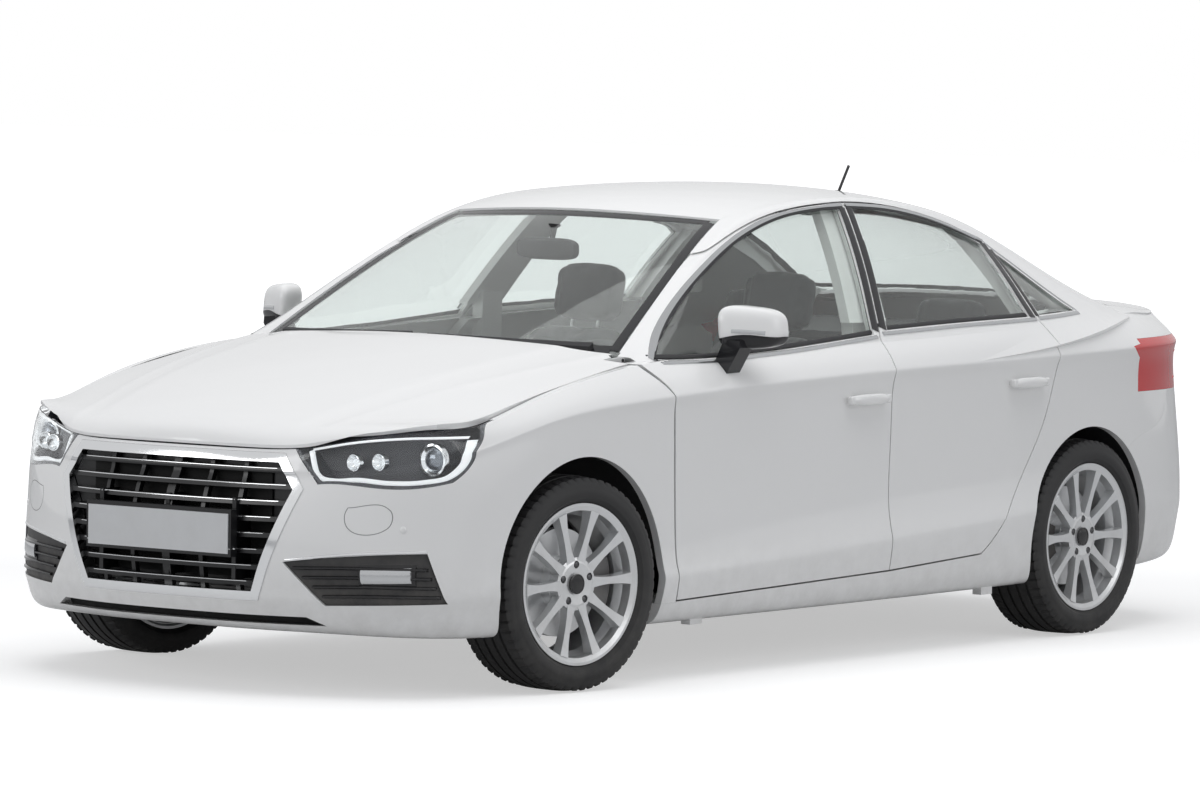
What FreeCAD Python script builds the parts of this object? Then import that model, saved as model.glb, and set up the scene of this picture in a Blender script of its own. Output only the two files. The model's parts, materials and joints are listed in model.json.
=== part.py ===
import FreeCAD, Part
import math
import os
from FreeCAD import Vector as V

os.makedirs("parts", exist_ok=True)

# Overall sizes of the car, millimetres; front faces -Y, left side is +X, ground is z = 0
WIDTH = 1796.0
HEIGHT = 1416.0
WHEELBASE = 2637.0
FRONT_OVERHANG = 857.0
REAR_OVERHANG = 962.0
FRONT_TRACK = 1555.0
REAR_TRACK = 1526.0
LENGTH = FRONT_OVERHANG + WHEELBASE + REAR_OVERHANG

# Named heights of the body side
SILL_HEIGHT = 172.0
TORNADO_RISE = 14.0

# Wheels and arches
TYRE_RADIUS = 310.0
TYRE_WIDTH = 225.0
RIM_RADIUS = 216.0
FLANGE_RADIUS = 233.0
RIM_WIDTH = 196.0
ARCH_RADIUS = 350.0
ARCH_STEER = 14.0
HUB_BORE = 33.0
SPOKES = 10
GRILLE_TOP = 664.0
GRILLE_BOTTOM = 298.0
GRILLE_FRAME = 26.0
GRILLE_SLATS = 8
REST_STEER = 7.5

# Thicknesses and clearances
PANEL = 24.0
LID_WALL = 16.0
DOOR_WALL = 72.0
ROOF_WALL = 26.0
GLASS = 5.0
SHUT_GAP = 5.0
SILL_WALL = 118.0
PILLAR_WALL = 60.0
LOW_SLANT = 0.08
HIGH_SLANT = 0.30
SEAM = 0.3

# Axle stations along the car
NOSE_Y = -LENGTH / 2
FRONT_AXLE = NOSE_Y + FRONT_OVERHANG
REAR_AXLE = FRONT_AXLE + WHEELBASE
REF_FRONT = -1371.0
REF_REAR = 1266.0
REF_SPAN = REF_REAR - REF_FRONT
REF_HALF = 898.0
REF_HEIGHT = 1416.0


def sy(y):
    """Station along the car: overhangs keep their length, the cabin stretches between the axles."""
    if y <= REF_FRONT:
        return FRONT_AXLE + (y - REF_FRONT)
    if y >= REF_REAR:
        return REAR_AXLE + (y - REF_REAR)
    return FRONT_AXLE + (y - REF_FRONT) * (REAR_AXLE - FRONT_AXLE) / (REF_REAR - REF_FRONT)


def sx(x):
    """Half-width position, in proportion to the body's width."""
    return x * (WIDTH / 2) / REF_HALF


def sz(z):
    """Height above the ground: what lies above the sill follows the car's height."""
    if z <= 172.0:
        return z * SILL_HEIGHT / 172.0
    return SILL_HEIGHT + (z - 172.0) * (HEIGHT - SILL_HEIGHT) / (REF_HEIGHT - 172.0)


def at(x, y, z):
    """A design point moved to this car's length, width and height."""
    return V(sx(x), sy(y), sz(z))


def curve(points):
    """Smooth function through (station, value) pairs, with straight ends."""
    ts = [p[0] for p in points]
    vs = [p[1] for p in points]
    n = len(ts)
    slopes = []
    for i in range(n):
        a = max(0, i - 1)
        b = min(n - 1, i + 1)
        slopes.append((vs[b] - vs[a]) / (ts[b] - ts[a]))

    def value(t):
        if t <= ts[0]:
            return vs[0] + slopes[0] * (t - ts[0])
        if t >= ts[-1]:
            return vs[-1] + slopes[-1] * (t - ts[-1])
        k = 0
        while t > ts[k + 1]:
            k += 1
        h = ts[k + 1] - ts[k]
        u = (t - ts[k]) / h
        a = 2 * u ** 3 - 3 * u ** 2 + 1
        b = u ** 3 - 2 * u ** 2 + u
        c = -2 * u ** 3 + 3 * u ** 2
        d = u ** 3 - u ** 2
        return a * vs[k] + b * h * slopes[k] + c * vs[k + 1] + d * h * slopes[k + 1]

    return value


def bspline(net):
    """Cubic surface over a net of poles, clamped at its four edges."""
    def knots(count):
        inner = count - 2
        return [float(i) for i in range(inner)], [4] + [1] * (inner - 2) + [4]

    ku, mu = knots(len(net))
    kv, mv = knots(len(net[0]))
    surface = Part.BSplineSurface()
    surface.buildFromPolesMultsKnots(net, mu, mv, ku, kv, False, False, 3, 3)
    return surface


def normals(net, reach=1):
    """Unit normal at each pole of a net, from neighbours within reach; outward when u runs aft and v runs up."""
    rows = len(net)
    cols = len(net[0])
    found = []
    for i in range(rows):
        line = []
        for j in range(cols):
            du = net[min(rows - 1, i + 1)][j] - net[max(0, i - 1)][j]
            dv = net[i][min(cols - 1, j + reach)] - net[i][max(0, j - reach)]
            n = du.cross(dv)
            n.normalize()
            line.append(n)
        found.append(line)
    return found


def offset_net(net, depth):
    """The net moved inward by a depth; poles on the centre plane stay on it."""
    if net is SIDE:
        return side_net(depth)
    if net is HOOD or net is DECK:
        return [[p - V(0, 0, depth) for p in row] for row in net]
    out = []
    reach = 1 if depth <= ROOF_WALL else 3
    for row, line in zip(net, normals(net, reach)):
        moved = []
        for p, n in zip(row, line):
            m = V(0 if abs(p.x) < 0.01 else n.x, n.y, n.z)
            m.normalize()
            moved.append(p - m * depth)
        out.append(moved)
    return out


def between(net_a, net_b):
    """Closed wall between two nets of the same layout."""
    sa = bspline(net_a)
    sb = bspline(net_b)
    faces = [sa.toShape(), sb.toShape()]
    u0, u1, v0, v1 = sa.bounds()
    for pick in (("u", u0), ("u", u1), ("v", v0), ("v", v1)):
        if pick[0] == "u":
            ca = sa.uIso(pick[1])
            cb = sb.uIso(pick[1])
        else:
            ca = sa.vIso(pick[1])
            cb = sb.vIso(pick[1])
        faces.append(Part.makeRuledSurface(ca.toShape(), cb.toShape()))
    shell = Part.Shell(faces)
    shell.sewShape()
    solid = Part.Solid(Part.Shell(shell.Faces))
    if solid.Volume < 0:
        solid.reverse()
    solid.fix(1e-4, 1e-4, 1e-2)
    return solid


def layer(net, outer, inner):
    """Wall of a skin between two depths under its outer surface."""
    return between(offset_net(net, outer) if outer else net, offset_net(net, inner))


# Plan outline of the body at its widest height, nose centre to tail centre
PLAN = [(0, -2228), (150, -2226), (300, -2208), (450, -2158), (590, -2092), (700, -2018), (785, -1925),
        (838, -1820), (866, -1690), (881, -1540), (889, -1371), (893, -1180), (895, -980), (896, -700),
        (898, -350), (898, 0), (898, 350), (897, 700), (895, 950), (892, 1110), (888, 1266), (881, 1430),
        (870, 1590), (850, 1740), (815, 1880), (755, 2005), (660, 2100), (530, 2165), (370, 2206),
        (190, 2226), (0, 2228)]

# Sections of the body side: station on PLAN, then heights and depths of its feature lines
# heights: sill, lower crease, ramp top, waist, tornado line
# depths: sill, lower crease, ramp top, waist, hollow, tornado line
SECTIONS = [
    (0, (186, 290, 372, 480, 640), (72, 30, 14, 10, 34, 62)),
    (3, (184, 290, 372, 480, 640), (66, 24, 12, 14, 30, 40)),
    (5, (178, 292, 374, 490, 655), (40, 8, 8, 16, 20, 24)),
    (7, (174, 296, 376, 510, 700), (30, 2, 8, 12, 16, 22)),
    (9, (172, 300, 370, 540, 780), (26, 2, 8, 10, 12, 10)),
    (10, (172, 302, 360, 550, 806), (24, 0, 6, 10, 14, 6)),
    (12, (172, 308, 352, 560, 832), (20, 2, 18, 20, 22, 6)),
    (15, (174, 352, 432, 600, 870), (22, 2, 22, 24, 24, 6)),
    (18, (180, 408, 488, 640, 889), (22, 2, 18, 20, 22, 6)),
    (20, (186, 420, 500, 650, 896), (24, 2, 8, 14, 20, 4)),
    (22, (196, 420, 500, 650, 902), (26, 4, 6, 14, 24, 6)),
    (24, (206, 400, 490, 640, 906), (30, 6, 8, 20, 40, 22)),
    (26, (212, 380, 480, 640, 915), (44, 10, 10, 26, 52, 44)),
    (28, (214, 372, 476, 640, 930), (50, 8, 2, 26, 60, 52)),
    (30, (214, 372, 476, 640, 935), (52, 8, 0, 26, 62, 52)),
]
# Top edge of the body side, beside bonnet, doors and rear deck: station, height, depth
TOP = [(0, 697, 82), (2, 697, 76), (3, 700, 54), (4, 733, 55), (5, 752, 48), (6, 761, 45), (7, 765, 52),
       (8, 792, 66), (9, 838, 73), (10, 876, 78), (11, 908, 87), (12, 930, 95), (15, 962, 86), (18, 1000, 84),
       (20, 1010, 110), (22, 1008, 150), (23, 1004, 140), (24, 1000, 150), (25, 997, 140), (26, 998, 95),
       (27, 1008, 66), (28, 1012, 46), (30, 1016, 42)]


def side_net(depth=0.0, lift=0.0):
    """Poles of the body side, wrapped from nose centre to tail centre, set in by a depth, top edge lifted."""
    pts = [V(x, y, 0) for x, y in PLAN]
    dirs = []
    for i in range(len(pts)):
        t = pts[min(len(pts) - 1, i + 1)] - pts[max(0, i - 1)]
        t.normalize()
        dirs.append(V(t.y, -t.x, 0))
    dirs[0] = V(0, -1, 0)
    dirs[-1] = V(0, 1, 0)
    heights = [curve([(s[0], s[1][k]) for s in SECTIONS]) for k in range(5)]
    depths = [curve([(s[0], s[2][k]) for s in SECTIONS]) for k in range(6)]
    top_height = curve([(s[0], s[1]) for s in TOP])
    top_depth = curve([(s[0], s[2]) for s in TOP])
    net = []
    for i, (p, n) in enumerate(zip(pts, dirs)):
        sill, low, ramp, waist, tornado = [h(i) for h in heights]
        d_sill, d_low, d_ramp, d_waist, d_hollow, d_tor = [d(i) for d in depths]
        top = top_height(i)
        d_top = top_depth(i)
        d_mid = d_tor + (d_top - d_tor) * 0.42
        rows = [(sill - 2, d_sill + 42), (sill, d_sill), (sill * 0.45 + low * 0.55, d_sill * 0.45 + d_low * 0.55),
                (low - 9, d_low), (low + 9, d_low + 1), (ramp, d_ramp), (waist, d_waist),
                (tornado - 62, d_hollow), (tornado - TORNADO_RISE, d_tor + 4), (tornado, d_tor),
                (tornado + 9, d_tor + 5), (tornado * 0.4 + top * 0.6, d_mid), (top, d_top)]
        line = []
        for j, (z, d) in enumerate(rows):
            up = min(depth, 18.0) if j < 2 else lift if j == len(rows) - 1 else 0.0
            line.append(at(p.x - n.x * d, p.y - n.y * d, z + up) - V(n.x, n.y, 0) * depth)
        net.append(line)
    for near, edge in ((1, 0), (-2, -1)):
        net[near] = [V(p.x, q.y, q.z) for p, q in zip(net[near], net[edge])]
    return net


# Canopy: centre profile, cant line and belt line at fourteen matching stations
CENTRE = [(-1075, 955), (-930, 1035), (-650, 1183), (-400, 1311), (-270, 1364), (-80, 1400), (200, 1417),
          (500, 1418), (800, 1400), (1000, 1372), (1150, 1337), (1400, 1224), (1620, 1116), (1775, 1046)]
CANT = [(708, -955, 938), (676, -815, 1026), (620, -560, 1172), (573, -320, 1288), (556, -150, 1338),
        (549, 40, 1370), (549, 260, 1384), (547, 500, 1381), (541, 760, 1354), (533, 960, 1316),
        (526, 1150, 1262), (532, 1370, 1178), (556, 1560, 1092), (590, 1705, 1030)]
BELT = [(796, -1010, 900), (800, -890, 914), (806, -700, 926), (809, -450, 938), (811, -220, 950),
        (813, 20, 965), (814, 260, 980), (813, 500, 990), (812, 760, 998), (809, 960, 1002),
        (803, 1150, 1006), (790, 1330, 1008), (762, 1500, 1006), (715, 1660, 1002)]


def canopy_net():
    """Poles of windscreen, roof, rear window and side glass, full width."""
    net = []
    for c, k, b in zip(CENTRE, CANT, BELT):
        half = []
        for a in (0.0, 0.3, 0.6, 0.84, 0.965):
            half.append((k[0] * a, c[0] + (k[1] - c[0]) * a * a, c[1] + (k[2] - c[1]) * a * a))
        half.append(k)
        for s in (0.05, 0.3, 0.65, 1.0, 1.28):
            bulge = 16 * 4 * s * (1 - s) if s < 1 else 0
            half.append((k[0] + (b[0] - k[0]) * s + bulge, k[1] + (b[1] - k[1]) * min(s, 1.0),
                         k[2] + (b[2] - k[2]) * s))
        right = [(-x, y, z) for x, y, z in half[1:]]
        net.append([at(*p) for p in half[::-1] + right])
    return net


# Bonnet: centre profile and side edge at eight matching stations
HOOD_CENTRE = [(-2144, 703), (-2136, 738), (-2085, 768), (-1890, 826), (-1650, 884), (-1400, 930),
               (-1200, 962), (-1085, 978)]
HOOD_EDGE = [(742, -1896, 767), (738, -1880, 775), (738, -1838, 779), (776, -1740, 786), (798, -1580, 828),
             (802, -1370, 872), (796, -1150, 908), (782, -985, 935)]
HOOD_CREASES = [(0.50, 0.60), (0.505, 0.61), (0.515, 0.625), (0.535, 0.65), (0.57, 0.70), (0.61, 0.76),
                (0.65, 0.82), (0.68, 0.86)]


# Top rim of bumper and lamps under the bonnet's front edge, as (station, height)
NOSE_RIM = [(-2146, 697), (-2108, 701), (-2044, 734), (-1981, 753), (-1899, 762), (-1838, 764)]


def hood_net():
    """Poles of the bonnet, full width, with two raised crease lines each side."""
    net = []
    rim = curve(NOSE_RIM)
    last = len(HOOD_CENTRE) - 1
    for i, (c, e, k) in enumerate(zip(HOOD_CENTRE, HOOD_EDGE, HOOD_CREASES)):
        rise = min(7.0, 3.5 * i)
        front = max(0.0, 1.0 - i / 2)
        swell = c[1] - HOOD_CENTRE[0][1]
        half = []
        fades = [(0.0, rise), (0.25, rise), (k[0] - 0.08, rise * 0.8), (k[0] - 0.015, rise), (k[0] + 0.02, rise * 0.35),
                 (k[1] - 0.03, rise * 0.15), (k[1] + 0.005, rise * 0.6), (k[1] + 0.04, -1.0), (0.955, 0.0), (1.0, 0.0)]
        power = 2.2 if i < last else 2.6
        for a, up in fades:
            y = c[0] + (e[1] - c[0]) * a ** (power + 1.1 * front)
            z = c[1] + (e[2] - c[1]) * a ** 2.3 + up
            if i < 2:
                z = rim(y) + SHUT_GAP + 7 + 5 * a * a + swell * (1 - a * a)
            half.append((e[0] * a, y, z))
        right = [(-x, y, z) for x, y, z in half[1:]]
        net.append([at(*p) for p in half[::-1] + right])
    return net


# Rear deck: centre profile and side edge at seven matching stations
DECK_CENTRE = [(1745, 1052), (1800, 1048), (1900, 1040), (2020, 1030), (2110, 1024), (2160, 1023), (2184, 1018)]
DECK_EDGE = [(724, 1640, 1000), (716, 1720, 1004), (700, 1800, 1000), (672, 1890, 994), (640, 1960, 994),
             (618, 1995, 998), (604, 2015, 998)]


def deck_net():
    """Poles of the rear deck with its raised lip, full width."""
    net = []
    for c, e in zip(DECK_CENTRE, DECK_EDGE):
        half = []
        for a in (0.0, 0.3, 0.6, 0.8, 0.92, 1.0):
            y = c[0] + (e[1] - c[0]) * a ** 4
            z = c[1] + (e[2] - c[1]) * a ** 3
            half.append((e[0] * a, y, z))
        right = [(-x, y, z) for x, y, z in half[1:]]
        net.append([at(*p) for p in half[::-1] + right])
    return net


SIDE = side_net()
CANOPY = canopy_net()
HOOD = hood_net()
DECK = deck_net()


MIRROR = FreeCAD.Matrix(-1, 0, 0, 0, 0, 1, 0, 0, 0, 0, 1, 0, 0, 0, 0, 1)


def mirrored(shape):
    """The same shape on the car's other side."""
    return shape.mirror(V(0, 0, 0), V(1, 0, 0))


def both(shape):
    """One shape on each side, as separate solids."""
    return Part.makeCompound([shape, mirrored(shape)])


def joined(shapes):
    """Union of overlapping solids as one solid."""
    whole = shapes[0].fuse(shapes[1:])
    return whole.removeSplitter()


def grown(segments, grow):
    """Outline with every point moved out along its normal, and mitred at the corners."""
    loop = []
    for k, seg in enumerate(segments):
        following = segments[(k + 1) % len(segments)][0]
        pts = list(seg)
        if math.hypot(pts[-1][0] - following[0], pts[-1][1] - following[1]) > 0.01:
            pts.append(following)
        loop.append(pts)
    area = 0.0
    for pts in loop:
        for p, q in zip(pts, pts[1:]):
            area += p[0] * q[1] - q[0] * p[1]
    side = 1.0 if area > 0 else -1.0

    def normal(p, q):
        size = math.hypot(q[0] - p[0], q[1] - p[1])
        return side * (q[1] - p[1]) / size, -side * (q[0] - p[0]) / size

    def corner(before, after):
        n = normal(*before)
        m = normal(*after)
        scale = grow / max(0.35, 1 + n[0] * m[0] + n[1] * m[1])
        return (n[0] + m[0]) * scale, (n[1] + m[1]) * scale

    out = []
    for k, pts in enumerate(loop):
        previous = loop[k - 1]
        following = loop[(k + 1) % len(loop)]
        moved = []
        for i, p in enumerate(pts):
            before = (previous[-2], p) if i == 0 else (pts[i - 1], p)
            after = (p, following[1]) if i == len(pts) - 1 else (p, pts[i + 1])
            d = corner(before, after)
            moved.append((p[0] + d[0], p[1] + d[1]))
        out.append(moved)
    return out


def prism(plane, segments, start, end, grow=0.0):
    """Closed outline of lines and smooth curves, moved out by grow and extruded across its plane."""
    place = {"x": lambda p: (sy(p[0]), sz(p[1])), "y": lambda p: (sx(p[0]), sz(p[1])), "z": lambda p: (sx(p[0]), sy(p[1]))}[plane]
    solid = {"x": lambda p: V(0, p[0], p[1]), "y": lambda p: V(p[0], 0, p[1]), "z": lambda p: V(p[0], p[1], 0)}[plane]
    edges = []
    for seg in grown([[place(p) for p in seg] for seg in segments], grow):
        pts = [solid(p) for p in seg]
        if len(pts) == 2:
            edges.append(Part.makeLine(pts[0], pts[1]))
        else:
            spline = Part.BSplineCurve()
            spline.interpolate(pts)
            edges.append(spline.toShape())
    face = Part.Face(Part.Wire(edges))
    normal = {"x": V(1, 0, 0), "y": V(0, 1, 0), "z": V(0, 0, 1)}[plane]
    face.translate(normal * start)
    return face.extrude(normal * (end - start))


def door_prism(outline, slant, grow=0.0):
    """Door outline through the skin, swept inward and forward so that the door can swing out past its neighbours."""
    def skin(z):
        return 890.0 if z < 900 else 890.0 - (z - 900) * 0.9 if z < 985 else 812.0 - (z - 985) * 0.683

    sheared = [[(y - slant * sx(skin(z)) * REF_SPAN / (REAR_AXLE - FRONT_AXLE), z) for y, z in seg] for seg in outline]
    solid = prism("x", sheared, 0, 1, grow)
    face = [f for f in solid.Faces if abs(f.CenterOfMass.x) < 1e-6 and abs(f.normalAt(0, 0).x) > 0.99][0]
    return face.extrude(V(sx(1000), slant * sx(1000), 0))


def box(x0, x1, y0, y1, z0, z1):
    """Block between opposite corners."""
    return Part.makeBox(x1 - x0, y1 - y0, z1 - z0, V(x0, y0, z0))


def rod(a, b, radius):
    """Round bar from a to b."""
    d = b - a
    return Part.makeCylinder(radius, d.Length, a, d)


def rounded(x0, x1, y0, y1, z0, z1, radius):
    """Block with all edges rounded."""
    b = box(x0, x1, y0, y1, z0, z1)
    return b.makeFillet(radius, b.Edges)


def solid_of(shape):
    """The largest solid of a result."""
    found = sorted(shape.Solids, key=lambda s: s.Volume)
    return found[-1]


def save(name, shape):
    """Write one node's file."""
    solids = shape.Solids
    out = solids[0] if len(solids) == 1 else Part.makeCompound(solids)
    bad = [i for i, q in enumerate(solids) if not q.isValid() or q.Volume < 1]
    print("%-22s solids %d volume %.1f l %s" % (name, len(solids), shape.Volume / 1e6, "BAD %s" % bad if bad else ""))
    out.exportStep("parts/%s.step" % name)


# Side outlines, as (station, height)
FRONT_SHUT = [(-941, 237), (-942, 430), (-946, 622), (-956, 787), (-972, 845), (-1000, 890), (-1022, 925)]
FRAME_TOP_FRONT = [(-960, 942), (-822, 1018), (-519, 1184), (-256, 1290), (-32, 1343), (171, 1364), (316, 1370)]
FRAME_TOP_REAR = [(316, 1370), (546, 1357), (806, 1315), (935, 1282), (1040, 1238)]
MID_SHUT = [(172, 985), (152, 900), (150, 780), (148, 640), (141, 506), (141, 386), (138, 266)]
REAR_SHUT = [(1030, 1010), (1050, 950), (1056, 895), (1034, 794), (985, 683), (907, 574), (809, 455), (712, 350),
             (634, 291)]
FRONT_DOOR = [FRONT_SHUT, FRAME_TOP_FRONT, [(316, 1370), (172, 985)], MID_SHUT, [(138, 266), (-941, 237)]]
REAR_DOOR = [MID_SHUT[::-1], [(172, 985), (316, 1370)], FRAME_TOP_REAR, [(1040, 1238), (1030, 1010)], REAR_SHUT,
             [(634, 291), (138, 266)]]
FRONT_LIGHT = [[(-925, 934), (-811, 1003), (-510, 1166), (-250, 1271), (-29, 1325), (171, 1346), (284, 1350)],
               [(284, 1350), (140, 978)], [(140, 978), (-248, 952), (-672, 933), (-925, 934)]]
REAR_LIGHT = [[(214, 990), (352, 1350)], [(352, 1350), (544, 1339), (801, 1297), (926, 1264), (1010, 1230)],
              [(1010, 1230), (1000, 1010)], [(1000, 1010), (620, 1003), (214, 990)]]
QUARTER_LIGHT = [[(1062, 1014), (1068, 1200)], [(1068, 1200), (1107, 1174), (1231, 1070), (1296, 1022)],
                 [(1296, 1022), (1062, 1014)]]
WING_SEAM = [[(-1895, 596), (-1893, 546)], [(-1893, 546), (-1600, 546)]]
BUMPER_SEAM = [(1500, 590), (1620, 630), (1745, 672), (1800, 762)]


# Door handles: first station, last station and height
HANDLES = {"front": (-100, 112, 791), "rear": (777, 975, 813)}


def handle(name):
    """Pull handle of a door: a bar on two posts over the skin."""
    y0, y1, z = HANDLES[name]
    bar = rounded(sx(888), sx(904), sy(y0), sy(y1), sz(z - 13), sz(z + 13), 6)
    posts = [box(sx(862), sx(892), sy(y), sy(y + 22), sz(z - 8), sz(z + 8)) for y in (y0 + 8, y1 - 30)]
    return [bar] + posts


def wheel_arch(axle, radius, x0, x1):
    """Cylinder across the body side at an axle."""
    return Part.makeCylinder(radius, x1 - x0, V(x0, axle, TYRE_RADIUS), V(1, 0, 0))


def panels():
    """Skin walls of the body, cut along the shut lines into the left side's panels and the centre panels."""
    half = SHUT_GAP / 2
    thin = layer(SIDE, 0, PANEL)
    thick = layer(SIDE, 0, DOOR_WALL)
    roof = layer(CANOPY, 0, ROOF_WALL)
    hood = layer(HOOD, 0, LID_WALL)
    deck = layer(DECK, 0, LID_WALL)
    wide = sx(1000)
    left = box(0, wide, sy(-2300), sy(2300), 0, 2000)
    roof_left = roof.common(left)
    made = {}
    # Openings in the body, a half gap larger than the doors
    away = box(sx(300), wide, sy(-2300), sy(2300), 0, 2000)
    belt_up = box(0, wide, sy(-2300), sy(2300), sz(1012), 2000)
    low_holes = [door_prism(d, LOW_SLANT, half).common(away).cut(belt_up) for d in (FRONT_DOOR, REAR_DOOR)]
    high_holes = [door_prism(d, HIGH_SLANT, half).common(away) for d in (FRONT_DOOR, REAR_DOOR)]
    screen = prism("z", SCREEN, 800, 1500)
    back = prism("z", BACK_LIGHT, 800, 1500)
    panel = prism("z", ROOF_PANEL, 1100, 1500)
    arches = wheel_arch(FRONT_AXLE, ARCH_RADIUS + ARCH_STEER, 300, wide).fuse(wheel_arch(REAR_AXLE, ARCH_RADIUS, 300, wide))
    lamp = prism("y", HEADLAMP, sy(-2300), sy(-1700))
    tail_lamp = prism("y", TAIL_LAMP, sy(1560), sy(2300))
    side_lamp = prism("x", SIDE_LAMP, 500, wide)
    tail = tail_lamp.fuse(side_lamp)
    lid_face = prism("y", LID_FACE, sy(1950), sy(2300))
    lid_hole = prism("y", LID_FACE, sy(1950), sy(2300), SHUT_GAP)
    made["tail"] = tail
    made["lamp"] = lamp
    # Doors
    for name, door, light in (("front", FRONT_DOOR, FRONT_LIGHT), ("rear", REAR_DOOR, REAR_LIGHT)):
        low_cutter = door_prism(door, LOW_SLANT, -half)
        high_cutter = door_prism(door, HIGH_SLANT, -half)
        hole = prism("x", light, 300, wide)
        pane = prism("x", light, 300, wide, -SEAM)
        lower = thick.common(low_cutter)
        other = low_holes[1] if name == "front" else low_holes[0]
        lower = lower.cut(hole)
        if name == "rear":
            lower = lower.cut(wheel_arch(REAR_AXLE, ARCH_RADIUS + 30, 300, wide))
        corner = box(0, sx(672), sy(-1200), sy(-948), 0, 2000)
        frame = solid_of(roof_left.common(high_cutter).cut([hole, screen, panel, back, other, corner]))
        shell = solid_of(lower).fuse([solid_of(frame)], 0.01)
        made[name + "_door"] = joined([shell] + handle(name))
        made[name + "_glass"] = solid_of(layer(CANOPY, 9, 9 + GLASS).common(left).common(pane))
    # Side frame: sill, quarter, pillars and roof rail
    rocker = layer(SIDE, 0, SILL_WALL).common(box(0, wide, sy(-1150), sy(1050), 0, sz(232)))
    skin = thin.common(box(0, wide, sy(-940), sy(2300), 0, 1500))
    skin = skin.cut(prism("x", [[(1300, 100), (1500, 590)], BUMPER_SEAM, [(1800, 762), (2400, 762)], [(2400, 762), (2400, 100)], [(2400, 100), (1300, 100)]], 0, wide))
    side_deck = deck.common(box(sx(592) + SHUT_GAP, wide, sy(1600), sy(2300), 0, 1500))
    skin = skin.cut([lid_hole, tail])
    rail = layer(CANOPY, 0, PILLAR_WALL).common(left)
    rail = rail.cut([screen, back, panel, prism("x", QUARTER_LIGHT, 300, wide)])
    post = [[(90, 190), (75, 980)], [(75, 980), (255, 1420)], [(255, 1420), (412, 1420)], [(412, 1420), (262, 980)],
            [(262, 980), (230, 190)], [(230, 190), (90, 190)]]
    pillar_cut = prism("x", post, 300, wide)
    low_post = layer(SIDE, DOOR_WALL + SHUT_GAP, SILL_WALL).common(pillar_cut)
    high_post = layer(CANOPY, ROOF_WALL + SHUT_GAP, PILLAR_WALL).common(left).common(pillar_cut)
    high_post = high_post.common(box(0, wide, sy(-2300), sy(2300), sz(1012), 2000))
    step = prism("y", [[(696, 900), (732, 900)], [(732, 900), (732, 1010)], [(732, 1010), (726, 1050)], [(726, 1050), (690, 1050)],
                       [(690, 1050), (696, 900)]], sy(135), sy(235))
    outer = skin.cut(low_holes + high_holes + [arches])
    rail = rail.cut(high_holes + low_holes)
    rocker = rocker.cut(low_holes + [arches])
    frame = joined([solid_of(outer), solid_of(rail), solid_of(rocker), side_deck])
    pads = [box(JACK_X - 16, JACK_X + 16, sy(y) - 30, sy(y) + 30, SILL_HEIGHT - 14, SILL_HEIGHT + 20) for y in JACK_Y]
    ledge = box(FLOOR_HALF + SEAM, sx(750), sy(-1000), sy(500), SILL_HEIGHT + 6, SILL_HEIGHT + 36)
    made["side_frame"] = joined([frame, solid_of(low_post), solid_of(high_post), step, ledge] + pads)
    made["roof_panel"] = roof.common(prism("z", ROOF_PANEL, 1100, 1500, -SEAM))
    made["windscreen"] = layer(CANOPY, 6, 6 + GLASS).common(prism("z", SCREEN, 800, 1500, -SEAM))
    made["rear_window"] = layer(CANOPY, 6, 6 + GLASS).common(prism("z", BACK_LIGHT, 800, 1500, -SEAM))
    made["quarter_glass"] = solid_of(layer(CANOPY, 6, 6 + GLASS).common(left).common(prism("x", QUARTER_LIGHT, 300, wide, -SEAM)))
    # Front wing and bumper
    wing = prism("x", [[(-940.6, 232.3), (-1371, 232.3)], [(-1371, 232.3), (-1371, 546)], [(-1371, 546), (-1893, 546)],
                       [(-1893, 546), (-1930, 700)], [(-1930, 700), (-1930, 1000)], [(-1930, 1000), (-940.6, 1000)]], 300, wide)
    made["wing"] = solid_of(thin.common(wing).cut([low_holes[0], high_holes[0], arches, lamp]))
    grille = prism("y", GRILLE, sy(-2300), sy(-1900))
    mouth = prism("y", GRILLE, sy(-2300), sy(-1900), -GRILLE_FRAME)
    proud = layer(SIDE, -3, 46).common(box(0, wide, sy(-2300), sy(-1900), 0, 800))
    ring = proud.common(prism("y", GRILLE, sy(-2300), sy(-1900), -SEAM)).cut(mouth)
    made["grille_frame"] = joined([ring, mirrored(ring)])
    bars = []
    inside = prism("y", GRILLE, sy(-2300), sy(-1900), -GRILLE_FRAME - SEAM)
    step = (GRILLE_TOP - GRILLE_BOTTOM) / GRILLE_SLATS
    for k in range(GRILLE_SLATS):
        z = GRILLE_BOTTOM + (k + 0.5) * step
        bars.append(box(0, wide, sy(-2300), sy(-1900), sz(z - 7), sz(z + 7)))
    blades = layer(SIDE, 10, 40).common(inside)
    slats = Part.makeCompound([blades.common(q) for q in bars]).Solids
    ribs = [layer(SIDE, 22, 40).common(inside).common(box(sx(x), sx(x + 14), sy(-2300), sy(-1900), 0, 800)) for x in (0, 120, 240)]
    panel_y = sy(-2112)
    back_panel = prism("y", GRILLE, panel_y, panel_y + 6, -GRILLE_FRAME - SEAM - 2)
    stays = [box(sx(x), sx(x + 14), sy(-2185), panel_y + 3, sz(330), sz(560)) for x in (-254, -7, 240)]
    half_grille = joined(slats + ribs)
    made["grille"] = joined([half_grille, mirrored(half_grille), back_panel] + stays)
    vent = prism("y", VENT, sy(-2300), sy(-1700))
    slot = prism("y", SLOT, sy(-2300), sy(-1900))
    front = thin.common(box(0, wide, sy(-2300), sy(-1400), 0, 800)).cut([wing, arches, lamp, vent])
    front = solid_of(front)
    made["front_bumper"] = joined([front, mirrored(front)]).cut([grille, slot])
    seam = [(q[0] + SEAM, q[1] - SEAM) for q in BUMPER_SEAM]
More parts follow.
